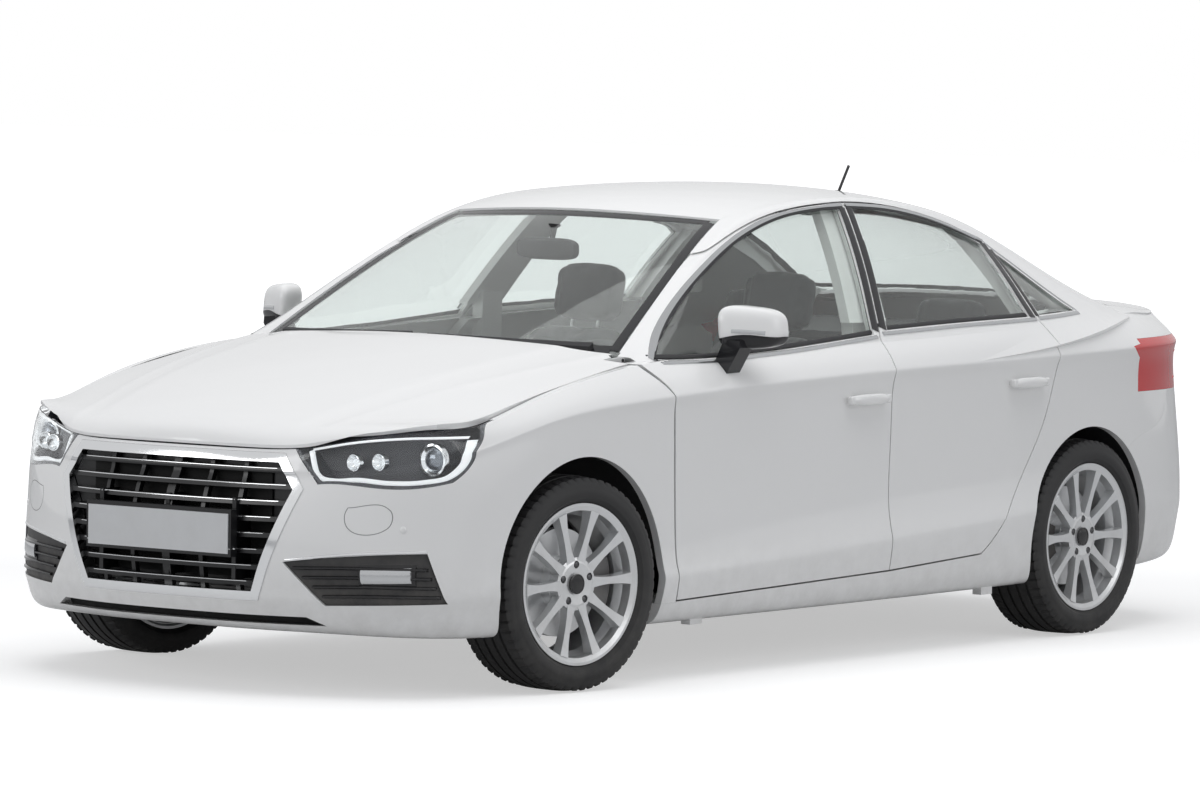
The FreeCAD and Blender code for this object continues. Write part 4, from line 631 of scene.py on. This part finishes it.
SCREEN_SIDE = [(640, -940), (568, -600), (482, -262)]
BACK_SIDE = [(480, 1172), (490, 1400), (532, 1630)]
BORDERS = {
    "screen_border_low": (SCREEN, [(-628, -944), (-400, -1006), (0, -1040), (400, -1006), (628, -944)],
        0.040),
    "screen_border_left": (SCREEN, SCREEN_SIDE, 0.030),
    "screen_border_right": (SCREEN, mirrored_path(SCREEN_SIDE), 0.030),
    "screen_border_top": (SCREEN, [(-476, -262), (-260, -314), (0, -334), (260, -314), (476, -262)], 0.032),
    "back_border_front": (BACK, [(-476, 1168), (-250, 1160), (0, 1156), (250, 1160), (476, 1168)], 0.030),
    "back_border_left": (BACK, BACK_SIDE, 0.030),
    "back_border_right": (BACK, mirrored_path(BACK_SIDE), 0.030),
    "back_border_low": (BACK, [(-516, 1672), (-300, 1714), (0, 1731), (300, 1714), (516, 1672)], 0.030),
}
for name, (node, points, width) in BORDERS.items():
    rows = strip([node], Z, 1, smooth_path(points, STRIP_COUNT), width, 0.0004, lift=0.0004, sink=0.0008)
    piece(name, rows, gloss_black)
COWL_PATH = smooth_path([(-650, -966), (-400, -1040), (0, -1074), (400, -1040), (650, -966)], STRIP_COUNT)
COWL_SECTION = np.array([(-0.020, 0.004), (0.012, 0.008), (0.012, -0.010), (-0.020, -0.014)])
FURTHER_UP = 0.030
glass_line = skin([SCREEN], Z, 1, COWL_PATH[:, :1], COWL_PATH[:, 1:] + FURTHER_UP) - FURTHER_UP
cowl_x = np.broadcast_to(COWL_PATH[:, :1], (STRIP_COUNT, 4))
cowl_rows = np.stack([cowl_x, COWL_PATH[:, 1:] + COWL_SECTION[:, 0], glass_line + COWL_SECTION[:, 1]], -1)
piece("cowl_panel", cowl_rows, matt_black)
print(len(BORDERS), "borders and the cowl")

# %% [markdown]
# ## Front lamps
# Behind each clear lens the real lamp has a dark bezel, a white light guide along its lower and outer edge, a
# round projector in a bright ring and two small reflectors. The guide follows the lamp's outline a little
# inside the skin. Projector and reflectors are outlines turned about a line to the front, which needs only a
# few numbers each.

# %% Lamp insides
GUIDES = {
    "light_guide": ([(446, 698), (486, 622), (520, 617), (575, 621), (660, 614), (732, 618), (772, 630),
        (792, 660), (799, 706), (797, 735)], 90, 0.013),
    "lamp_upper_line": ([(452, 702), (560, 724), (680, 738), (790, 742)], 60, 0.007),
}
for name, (points, count, width) in GUIDES.items():
    rows = strip(["headlamp_lenses"], Y, -1, smooth_path(points, count), width, 0.003, lift=-0.012,
        sink=0.004)
    both_sides(name, rows, guide_white)


def cup(name, x, z, radius, depth, rim):
    """A bright ring with a bowl behind it, turned about a line to the front; returns the ring's station."""
    y = depth_at(["headlamp_lenses"], Y, -1, x + radius + rim, z) + 0.010
    outline = [(0, 0), (0, radius * 0.55), (depth * 0.5, radius * 0.85), (depth, radius),
        (depth + 0.003, radius + rim * 0.4), (depth + 0.002, radius + rim), (-0.004, radius + rim),
        (-0.006, 0)]
    rows = turned(outline, (x, y + depth, z), FORWARD, UP)
    both_sides(name, rows, bright, round_rows=True)
    return y


PROJECTOR_X, PROJECTOR_Z, BALL_RADIUS = 0.722, 0.678, 0.033
ring_y = cup("projector_ring", PROJECTOR_X, PROJECTOR_Z, 0.036, 0.012, 0.010)
ball = [(0.020 * math.cos(a), BALL_RADIUS * math.sin(a)) for a in np.linspace(0, math.pi / 2, 9)]
ball += [(-0.002, BALL_RADIUS), (-0.002, 0)]
rows = turned(ball, (PROJECTOR_X, ring_y + 0.010, PROJECTOR_Z), FORWARD, UP)
both_sides("projector_lens", rows, projector_glass, round_rows=True)
for label, x, z in (("inner", 0.560, 0.668), ("outer", 0.622, 0.671)):
    cup("lamp_reflector_" + label, x, z, 0.020, 0.012, 0.004)
print("front lamps filled")

# %% [markdown]
# ## Grille and lower inserts
# The real slats have thin bright front edges, and flat dark sheets behind them and in the bumper's lower slot
# are painted shade. The black inserts under the lamps carry louvres, a fog lamp in a dark rim and a bright line
# on top. All are strips again, because they follow the nose, which curves both across and upwards.

# %% Slat edges and painted shade sheets
SLATS, SLAT_LOW, SLAT_STEP, EDGE_ABOVE, MOUTH_INSET = 8, 298.0, 45.75, 5, 34
MOUTH_HEIGHTS, MOUTH_HALVES = (272, 592, 690), (300, 424, 356)


def level_path(half, z, count):
    """A straight path across the car at a height."""
    return smooth_path([(-half, z), (-half / 2, z), (0, z), (half / 2, z), (half, z)], count)


for k in range(SLATS):
    z = SLAT_LOW + (k + 0.5) * SLAT_STEP
    half = float(np.interp(z, MOUTH_HEIGHTS, MOUTH_HALVES)) - MOUTH_INSET
    rows = strip(["grille"], Y, -1, level_path(half, z + EDGE_ABOVE, 60), 0.0035, 0.0012, columns=5,
        sample=0.001)
    piece("slat_edge_%d" % (k + 1), rows, bright)
# Painted shade: a flat near-black sheet behind the slats stands in for the shade inside the grille.
SHADE_Y, SHADE_THICK, SHADE_COLUMNS = -2.118, 0.003, 7
shade = strip(["grille"], Y, -1, smooth_path([(-330, 481), (0, 481), (330, 481)], 9), 0.30, 0.0)
shade[..., 1] = np.where(np.arange(shade.shape[1]) < SHADE_COLUMNS, SHADE_Y, SHADE_Y + SHADE_THICK)
piece("grille_shade", shade, painted_shade_black, smooth=False)
# Painted shade: a near-black strip sunk into the bumper's lower slot stands in for the shade inside it.
slot_path = smooth_path([(-470, 218), (-240, 218), (0, 218), (240, 218), (470, 218)], 60)
rows = strip(["front_bumper"], Y, -1, slot_path, 0.046, 0.0, lift=-0.026, sink=0.004, sample=0.027)
piece("lower_slot_shade", rows, painted_shade_black, smooth=False)
print(SLATS, "slat edges and two shades")

# %% Louvres, fog lamps and insert lines
INSERT = ["bumper_vents"]
for k in range(4):
    z = 292 + 26 * k
    inner, outer = 508 - 26 * k, 776 - 8 * k
    path = smooth_path([(inner, z), ((inner + outer) / 2, z + 4), (outer, z + 2)], 40)
    both_sides("louvre_%d" % (k + 1), strip(INSERT, Y, -1, path, 0.010, 0.010), gloss_black)
rows = strip(INSERT, Y, -1, smooth_path([(610, 352), (664, 354), (722, 356)], 30), 0.050, 0.010, lift=0.001)
both_sides("fog_lamp", rows, fog_glass)
rows = strip(INSERT, Y, -1, smooth_path([(602, 352), (664, 354), (730, 356)], 30), 0.062, 0.006)
both_sides("fog_lamp_rim", rows, gloss_black)
rows = strip(["front_bumper"] + INSERT, Y, -1, smooth_path([(410, 391), (583, 413), (752, 423)], 60), 0.008,
    0.003)
both_sides("insert_line", rows, bright)
print("inserts dressed")

# %% [markdown]
# ## Small covers and the rear end
# The bumper has the fine outline of a washer cover, painted as a thin grey line of shade along its gap, and small
# round parking sensors. The rear end isn't in the photograph, so it has what such cars have: a blank plate,
# brighter lines in the lamps, reversing lamps, reflectors and a dark lower edge.

# %% Washer covers and sensors
WASHER = [(570, 544), (664, 546), (672, 538), (669, 490), (660, 482), (580, 480), (572, 488), (566, 536),
    (570, 544)]
loop = smooth_path(WASHER, 80)[:-1]
# Painted shade: a thin grey line stands in for the shade in the washer cover's gap.
rows = strip(["front_bumper"], Y, -1, loop, 0.0022, 0.0003, columns=3, round_rows=True)
both_sides("washer_cover_line", rows, gap_shade_grey, round_rows=True)
BUTTON = [(0.002, 0), (0.002, 0.008), (0.0005, 0.010), (-0.006, 0.010), (-0.006, 0)]
SENSOR_X, SENSOR_Z, SENSOR_AIM = 0.701, 0.485, (0.55, -0.83, 0.05)
sensor_y = depth_at(["front_bumper"], Y, -1, SENSOR_X, SENSOR_Z)
rows = turned(BUTTON, (SENSOR_X, sensor_y, SENSOR_Z), SENSOR_AIM, UP, 32)
both_sides("parking_sensor", rows, paint, round_rows=True)
print("covers and sensors")

# %% Rear plate, lamp lines and reflectors
PLATE_HALF, PLATE_HALF_HIGH, PLATE_CORNER, PLATE_THICK = 0.26, 0.0565, 0.01, 0.003
PLATE_LOW, PLATE_HIGH = 0.735, 0.848
plate_u, plate_v = np.meshgrid(np.linspace(-PLATE_HALF, PLATE_HALF, 9), np.linspace(PLATE_LOW, PLATE_HIGH, 5),
    indexing="ij")
plate_y = skin(["boot_lid"], Y, 1, plate_u, plate_v).max() + 0.001
corner = np.linspace(0, math.pi / 2, 4)
outline = np.concatenate([
    np.stack([sx * (PLATE_HALF - PLATE_CORNER + PLATE_CORNER * np.cos(a)),
        sz * (PLATE_HALF_HIGH - PLATE_CORNER + PLATE_CORNER * np.sin(a))], -1)
    for sx, sz, a in ((1, 1, corner), (-1, 1, corner[::-1]), (-1, -1, corner), (1, -1, corner[::-1]))])
middle_z = (PLATE_LOW + PLATE_HIGH) / 2
rows = np.stack([np.stack([outline[:, 0], np.full(len(outline), y), outline[:, 1] + middle_z], -1)
    for y in (plate_y, plate_y + PLATE_THICK)])
piece("rear_plate", rows, plate_finish, "boot_lid", smooth=False)
rows = strip(["rear_bumper"], Y, 1, level_path(380, 262, 40), 0.10, 0.0015, lift=0.0006)
piece("rear_valance", rows, matt_black)
REAR_STRIPS = {
    "rear_reflector": ("rear_bumper", [(520, 352), (600, 355), (690, 360)], 30, 0.022, 0.003, red),
    "tail_line_low": ("tail_lamps", [(612, 792), (700, 790), (768, 792)], 30, 0.008, 0.002, red_bright),
    "tail_line_high": ("tail_lamps", [(612, 880), (690, 880), (756, 876)], 30, 0.008, 0.002, red_bright),
    "reversing_lamp": ("lid_lamps", [(430, 838), (500, 840), (570, 842)], 20, 0.030, 0.002, clear_grey),
}
for name, (node, points, count, width, proud, material) in REAR_STRIPS.items():
    rows = strip([node], Y, 1, smooth_path(points, count), width, proud, lift=0.0006)
    both_sides(name, rows, material, "boot_lid" if node == "lid_lamps" else "body")
print("rear plate at y = %.3f" % plate_y)

# %% [markdown]
# ## Mirrors and handles
# A mirror housing is a soft, wedge-shaped form that sweeps back as it goes outwards. Subdividing a box would
# need its corners placed by eye; a soft box with one formula for its taper and sweep gives the same form from
# a few numbers. Its lower part is a black shell, and a foot, a pane and a lamp strip complete it. The
# handles' bars get rounder grips.

# %% Mirrors
MIRROR_MIDDLE, MIRROR_HALF, MIRROR_SWEEP = np.array((0.902, -0.606, 1.024)), (0.080, 0.054, 0.062), 0.50
MIRROR_POWER, SHELL_PROUD, SHELL_TOP = 3.6, 0.0012, -0.026
LEAN_IN, TAPER_OUT, TAPER_UP = 0.10, 0.16, 0.14


def mirror_form(points):
    """Soft box to housing: narrower towards its outer end and top, swept back by its distance outwards."""
    x, y, z = np.moveaxis(points, -1, 0)
    out = x / MIRROR_HALF[0]
    swept = y * (1 - TAPER_OUT * out) + MIRROR_SWEEP * x
    return np.stack([x - LEAN_IN * z, swept, z * (1 - TAPER_UP * out)], -1) + MIRROR_MIDDLE


housing = mirror_form(soft_box(MIRROR_HALF, (48, 64), MIRROR_POWER))
for side, sign in (("left", 1), ("right", -1)):
    piece("mirror_housing_" + side, housing * (sign, 1, 1), paint, "door_front_" + side,
        replace=["mirror_" + side])
lower = soft_box(np.array(MIRROR_HALF) + SHELL_PROUD, (60, 64), MIRROR_POWER)
lower = lower[lower[:, 0, 2] < SHELL_TOP]
both_sides("mirror_lower_shell", mirror_form(lower), gloss_black, "door_front_LEFT")
FOOT = np.array([(812, 912), (858, 884), (908, 966), (906, 986), (850, 990)], float) / 1000
rows = np.stack([np.stack([FOOT[:, 0], np.full(len(FOOT), y), FOOT[:, 1]], -1) for y in (-0.684, -0.620)])
both_sides("mirror_foot", rows, gloss_black, "door_front_LEFT", smooth=False)
HOUSING = ["mirror_housing_left"]
rows = strip(HOUSING, Y, -1, smooth_path([(872, 1014), (912, 1013), (956, 1010)], 30), 0.012, 0.0015,
    lift=0.0006)
both_sides("mirror_lamp_strip", rows, clear_grey, "door_front_LEFT")
rows = strip(HOUSING, Y, 1, smooth_path([(856, 1030), (904, 1030), (944, 1030)], 20), 0.070, 0.0008,
    lift=0.0006)
both_sides("mirror_pane", rows, mirror_glass, "door_front_LEFT")
print("mirrors done")

# %% Handles and locks
HANDLES = {"front": (0.006, 0.791, 0.108), "rear": (0.876, 0.813, 0.101)}
GRIP_X, GRIP_HALF, GRIP_HIGH, GRIP_BOW = 0.896, 0.011, 0.0165, 0.004
for name, (y, z, length) in HANDLES.items():
    grip = soft_box((GRIP_HALF, length, GRIP_HIGH), (32, 64), 3.0)
    bow = GRIP_BOW * (1 - (grip[..., 1:2] / length) ** 2)
    grip = grip + np.array((GRIP_X, y, z)) + bow * (1, 0, 0)
    both_sides("handle_grip_" + name, grip, paint, "door_%s_LEFT" % name)
LOCK_Y, LOCK_Z = 0.128, 0.791
BUTTON_FLAT = [(0.002, 0), (0.002, 0.008), (0.0, 0.010), (-0.006, 0.010), (-0.006, 0)]
lock_x = depth_at(["door_front_left"], X, 1, LOCK_Y, LOCK_Z)
rows = turned(BUTTON_FLAT, (lock_x, LOCK_Y, LOCK_Z), (1, 0, 0), UP, 32)
both_sides("door_lock", rows, bright, "door_front_LEFT", round_rows=True)
print("handles and locks done")

# %% [markdown]
# ## Wheels
# A tyre is its section turned about the axle. The radius of the tread drops by 7 mm in four round grooves,
# and near the shoulders by 5 mm in every fifth of 300 steps, which gives cross grooves without modelling
# single blocks. Each wheel's centre and axle are read from the frame's joints, so the front pair is steered
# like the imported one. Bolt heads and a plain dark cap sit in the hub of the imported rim.

# %% Tyre section and tread
RADIUS, SEAT = 0.310, 0.095
GROOVES, GROOVE_HALF, GROOVE_SLOPE, GROOVE_DEEP, CROSS_DEEP = (0.018, 0.055), 0.0045, 0.0006, 0.007, 0.005
STEPS, CROSS_EVERY, TREAD_FROM, SHOULDER_FROM = 300, 5, 0.300, (0.063, 0.296)
WALL = [(SEAT, 0.217), (SEAT, 0.234), (0.1045, 0.241), (0.1085, 0.247), (0.1095, 0.2475), (0.1118, 0.256),
    (0.1125, 0.262), (0.1122, 0.274), (0.1118, 0.2745), (0.1108, 0.284), (0.1068, 0.292), (0.103, 0.2985),
    (0.0985, 0.3035), (0.0965, 0.3055)]
offsets = (-GROOVE_HALF - GROOVE_SLOPE, -GROOVE_HALF, GROOVE_HALF, GROOVE_HALF + GROOVE_SLOPE)
edges = sorted([g + o for g in GROOVES for o in offsets])
crown = [(q, RADIUS - 0.012 * (q / 0.1) ** 4) for q in [0.092, 0.084, 0.076, 0.070] + edges[::-1] + [0.006]]
right_half = np.array(WALL + crown)
section = np.concatenate([right_half, right_half[::-1] * (-1, 1)])
across = np.abs(section[:, 0])
in_round_groove = np.zeros(len(section))
for g in GROOVES:
    in_round_groove = np.maximum(in_round_groove, (np.abs(across - g) < GROOVE_HALF + 0.0002) * 1.0)
on_tread = section[:, 1] > TREAD_FROM
shoulder = ((across > SHOULDER_FROM[0]) & (section[:, 1] > SHOULDER_FROM[1])) * 1.0
turn = np.arange(STEPS)
cross_groove = (turn % CROSS_EVERY == 0) * 1.0
radius = section[None, :, 1] - GROOVE_DEEP * (in_round_groove * on_tread)[None]
radius = radius - CROSS_DEEP * cross_groove[:, None] * shoulder[None]
angle = turn * 2 * math.pi / STEPS
tyre_local = np.stack([np.broadcast_to(section[:, 0], radius.shape), radius * np.cos(angle)[:, None],
        radius * np.sin(angle)[:, None]], -1)
print("tyre section", len(section), "points,", STEPS, "steps")

# %% Bolts, caps and all four wheels
BOLTS, BOLT_CIRCLE, BOLT_SIDES, FIRST_BOLT = 5, 0.056, 12, 90
head = np.array([(0.083, 0.0), (0.083, 0.005), (0.081, 0.0085), (0.070, 0.0085), (0.070, 0.0)])
head_angle = np.arange(BOLT_SIDES) * 2 * math.pi / BOLT_SIDES
head_share = 1 - 0.10 * (np.arange(BOLT_SIDES) % 2)
head_rows = np.stack([np.broadcast_to(head[:, 0], (BOLT_SIDES, len(head))),
        head[:, 1] * (head_share * np.cos(head_angle))[:, None],
        head[:, 1] * (head_share * np.sin(head_angle))[:, None]], -1)
CAP_LINE = [(0.0865, 0.0), (0.0865, 0.016), (0.0855, 0.024), (0.0875, 0.0265), (0.0865, 0.029),
    (0.079, 0.029), (0.079, 0.0)]
cap_rows = turned(CAP_LINE, (0, 0, 0), (1, 0, 0), UP, 48)


def placed_wheel(local, joint):
    """Points of a wheel (outward, along, up) at its joint; on the right, outward points the other way."""
    axle, centre = np.array(joint["axis"], float), np.array(joint["pos_m"], float)
    up = np.array((0.0, 0.0, 1.0)) - axle * axle[2]
    up /= np.linalg.norm(up)
    along = np.cross(up, axle)
    outward = 1.0 if centre[0] > 0 else -1.0
    return centre + local[..., :1] * outward * axle + local[..., 1:2] * along + local[..., 2:] * up


for joint in frame["joints"]:
    if not joint["name"].endswith("_spin"):
        continue
    wheel = joint["child"]
    place_name = wheel.replace("wheel_", "")
    piece("tread_" + place_name, placed_wheel(tyre_local, joint), rubber, wheel, round_rows=True,
        replace=["tyre_" + place_name])
    piece("hub_cap_" + place_name, placed_wheel(cap_rows, joint), gloss_black, wheel, round_rows=True)
    for k in range(BOLTS):
        a = math.radians(FIRST_BOLT + 360 / BOLTS * k)
        shifted = head_rows + (0, BOLT_CIRCLE * math.cos(a), BOLT_CIRCLE * math.sin(a))
        piece("bolt_%s_%d" % (place_name, k + 1), placed_wheel(shifted, joint), bolt_dark, wheel,
            round_rows=True)
print("wheels dressed")

# %% [markdown]
# ## Seats
# Each cushion is foam under a sewn cover. It starts as a soft box: a direction from its middle is stretched
# until the power sum of its parts, each over its half size, is one. It is remeshed into even squares and
# blown up a little as cloth, which crowns its faces and rounds its corners, and then seams are pressed in
# where the covers are sewn. Sculpting could do the same by hand, but the simulation gives even tension
# everywhere.

# %% Helpers for padding
VOXEL, PRESSURE, PUFF_CAP, PUFF_FRAMES = 0.011, 4.0, 0.020, 20
SEAM_DEPTH, SEAM_WIDTH, FILL = 0.007, 0.006, 0.7


def tilted(points, degrees, place):
    """Points turned about the x axis and moved to a place."""
    c, s = math.cos(math.radians(degrees)), math.sin(math.radians(degrees))
    turn_x = np.array([(1, 0, 0), (0, c, -s), (0, s, c)])
    return points @ turn_x.T + np.array(place)


def bake_down(obj):
    """The object's modifiers become its mesh."""
    shape = bpy.data.meshes.new_from_object(obj.evaluated_get(bpy.context.evaluated_depsgraph_get()))
    obj.modifiers.clear()
    obj.data = shape
    shape.polygons.foreach_set("use_smooth", np.ones(len(shape.polygons), bool))


def read_points(obj):
    """Vertex places as an array."""
    places = np.empty(len(obj.data.vertices) * 3)
    obj.data.vertices.foreach_get("co", places)
    return places.reshape(-1, 3)


def write_points(obj, points):
    """Vertex places from an array."""
    obj.data.vertices.foreach_set("co", points.ravel())
    obj.data.update()


print("padding helpers ready")

# %% Puffed and sewn
def puffed(obj):
    """Remeshed, blown up as cloth with gravity off, and moved by no more than the cap."""
    remesh = obj.modifiers.new("even", "REMESH")
    remesh.mode = "VOXEL"
    remesh.voxel_size = VOXEL
    bake_down(obj)
    before = read_points(obj)
    cloth_sim = obj.modifiers.new("cloth", "CLOTH")
    cloth_sim.settings.use_pressure = True
    cloth_sim.settings.uniform_pressure_force = PRESSURE
    cloth_sim.settings.effector_weights.gravity = 0
    for step in range(1, PUFF_FRAMES + 1):
        bpy.context.scene.frame_set(step)
    bake_down(obj)
    move = read_points(obj) - before
    size = np.linalg.norm(move, axis=1)[:, None]
    write_points(obj, before + move * np.minimum(1, PUFF_CAP / np.maximum(size, 1e-9)))
    bpy.context.scene.frame_set(1)


def sewn(obj, lines, degrees, place):
    """Seams along lines (axis, place) in the pad's axes, pressed in by depth * exp(-(distance / width)^2)."""
    local = tilted(read_points(obj) - np.array(place), -degrees, (0, 0, 0))
    press = np.zeros(len(local))
    for axis, at in lines:
        press = np.maximum(press, np.exp(-((local[:, axis] - at) / SEAM_WIDTH) ** 2))
    inward = local.mean(0) - local
    inward /= np.linalg.norm(inward, axis=1)[:, None]
    write_points(obj, tilted(local + inward * (press * SEAM_DEPTH)[:, None], degrees, place))


print("puffed and sewn ready")

# %% Pads and their mirror images
def pad(name, half, degrees, place, lines, replace=None):
    """A soft box at its place, puffed and sewn."""
    obj = piece(name, tilted(soft_box(half), degrees, place), cloth, replace=replace)
    puffed(obj)
    sewn(obj, lines, degrees, place)
    return obj


def twin(obj, name):
    """The mirrored copy of a padded piece, with its faces turned back outwards."""
    mesh = obj.data.copy()
    mesh.transform(Matrix.Diagonal((-1, 1, 1, 1)))
    mesh.flip_normals()
    copy = link(bpy.data.objects.new(name, mesh))
    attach(copy, "body")


print("pads ready")

# %% Seats and bench
SEAT_X, BENCH_HEAD_X = 0.365, 0.380
FRONT_PADS = [
    ("seat_cushion", (0.240, 0.245, 0.062), -3, (SEAT_X, -0.222, 0.378), [(X, -0.15), (X, 0.15), (Y, 0.06)]),
    ("seat_back", (0.235, 0.052, 0.295), -22, (SEAT_X, 0.128, 0.690), [(X, -0.145), (X, 0.145), (Z, 0.10)]),
    ("head_rest", (0.122, 0.042, 0.088), -12, (SEAT_X, 0.262, 1.058), [(X, 0.095), (X, -0.095)])]
for k, (name, half, degrees, place, lines) in enumerate(FRONT_PADS):
    made = pad(name + "_left", half, degrees, place, lines, ["front_seats"] if k == 0 else None)
    twin(made, name + "_right")
BENCH_PADS = [
    ("bench_cushion", (0.600, 0.200, 0.048), -3, (0, 0.672, 0.415), [(X, -0.2), (X, 0.2), (Y, 0.0)]),
    ("bench_back", (0.585, 0.052, 0.268), -25, (0, 1.030, 0.655), [(X, -0.2), (X, 0.2), (Z, 0.05)])]
for k, (name, half, degrees, place, lines) in enumerate(BENCH_PADS):
    pad(name, half, degrees, place, lines, ["rear_bench"] if k == 0 else None)
made = pad("bench_head_rest_left", (0.122, 0.038, 0.068), -18, (BENCH_HEAD_X, 1.180, 0.976),
    [(X, 0.09), (X, -0.09)])
twin(made, "bench_head_rest_right")
print("seats padded")

# %% [markdown]
# ## What carries the seats, and the inside mirror
# Under the pads are plain bases, and steel stays carry the head rests. The inside mirror hangs from the
# windscreen, so its height is read on the inner side of the glass.

# %% Seat bases, stays and inside mirror
def box_rows(x, y, z, edge=0.012):
    """Rows of a box with chamfered upright edges; x, y and z are (low, high)."""
    outline = np.array([(x[0] + edge, y[0]), (x[1] - edge, y[0]), (x[1], y[0] + edge), (x[1], y[1] - edge),
            (x[1] - edge, y[1]), (x[0] + edge, y[1]), (x[0], y[1] - edge), (x[0], y[0] + edge)])
    return np.stack([np.concatenate([outline, np.full((len(outline), 1), height)], 1) for height in z])


seat_rows = box_rows((0.165, 0.565), (-0.42, 0.0), (0.205, 0.322))
both_sides("seat_base", seat_rows, trim, smooth=False)
piece("bench_base", box_rows((-0.56, 0.56), (0.64, 0.86), (0.335, 0.375)), trim, smooth=False)
STAY_RADIUS, STAY_LENGTH, STAY_APART = 0.006, 0.09, 0.05
STAYS = {"front": (SEAT_X, 0.236, 0.945, 12), "rear": (BENCH_HEAD_X, 1.145, 0.880, 18)}
stay_rows = turned([(0, 0), (0, STAY_RADIUS), (1, STAY_RADIUS), (1, 0)], (0, 0, 0), UP, (0, 1, 0), 12)
for label, offset in (("inner", -STAY_APART), ("outer", STAY_APART)):
    for row, (x, y, z, lean) in STAYS.items():
        rise = np.array((0, math.sin(math.radians(lean)), math.cos(math.radians(lean)))) * STAY_LENGTH
        stay = np.array((x + offset, y, z)) + stay_rows[..., :2] @ np.eye(2, 3) + stay_rows[..., 2:] * rise
        both_sides("%s_stay_%s" % (row, label), stay, steel, round_rows=True)
MIRROR_ROUND, MIRROR_Y, MIRROR_FOOT_Y, HANG_BELOW = 32, -0.43, -0.40, 0.075
shape = np.linspace(0, 2 * math.pi, MIRROR_ROUND, endpoint=False)
cosine, sine = np.cos(shape), np.sin(shape)
face = np.stack([0.115 * np.sign(cosine) * np.abs(cosine) ** 0.5,
    0.033 * np.sign(sine) * np.abs(sine) ** 0.6], -1)
hang = depth_at([SCREEN], Z, -1, 0.0, MIRROR_FOOT_Y)
layers = [(-0.022, 0.75), (-0.016, 0.95), (-0.004, 1.0), (0.004, 1.0), (0.006, 0.96)]
middle = hang - HANG_BELOW
rows = np.stack([np.stack([face[:, 0] * f, np.full(MIRROR_ROUND, MIRROR_Y + d), middle + face[:, 1] * f], -1)
    for d, f in layers])
piece("inside_mirror", rows, trim)
FOOT_LINE = [(0, 0), (0, 0.020), (0.004, 0.018), (0.012, 0.010), (0.060, 0.008), (0.060, 0)]
rows = turned(FOOT_LINE, (0, MIRROR_FOOT_Y, hang - 0.001), (0, -0.25, -0.97), (0, 1, 0), 24)
piece("inside_mirror_foot", rows, trim, round_rows=True)
print("cabin details done")
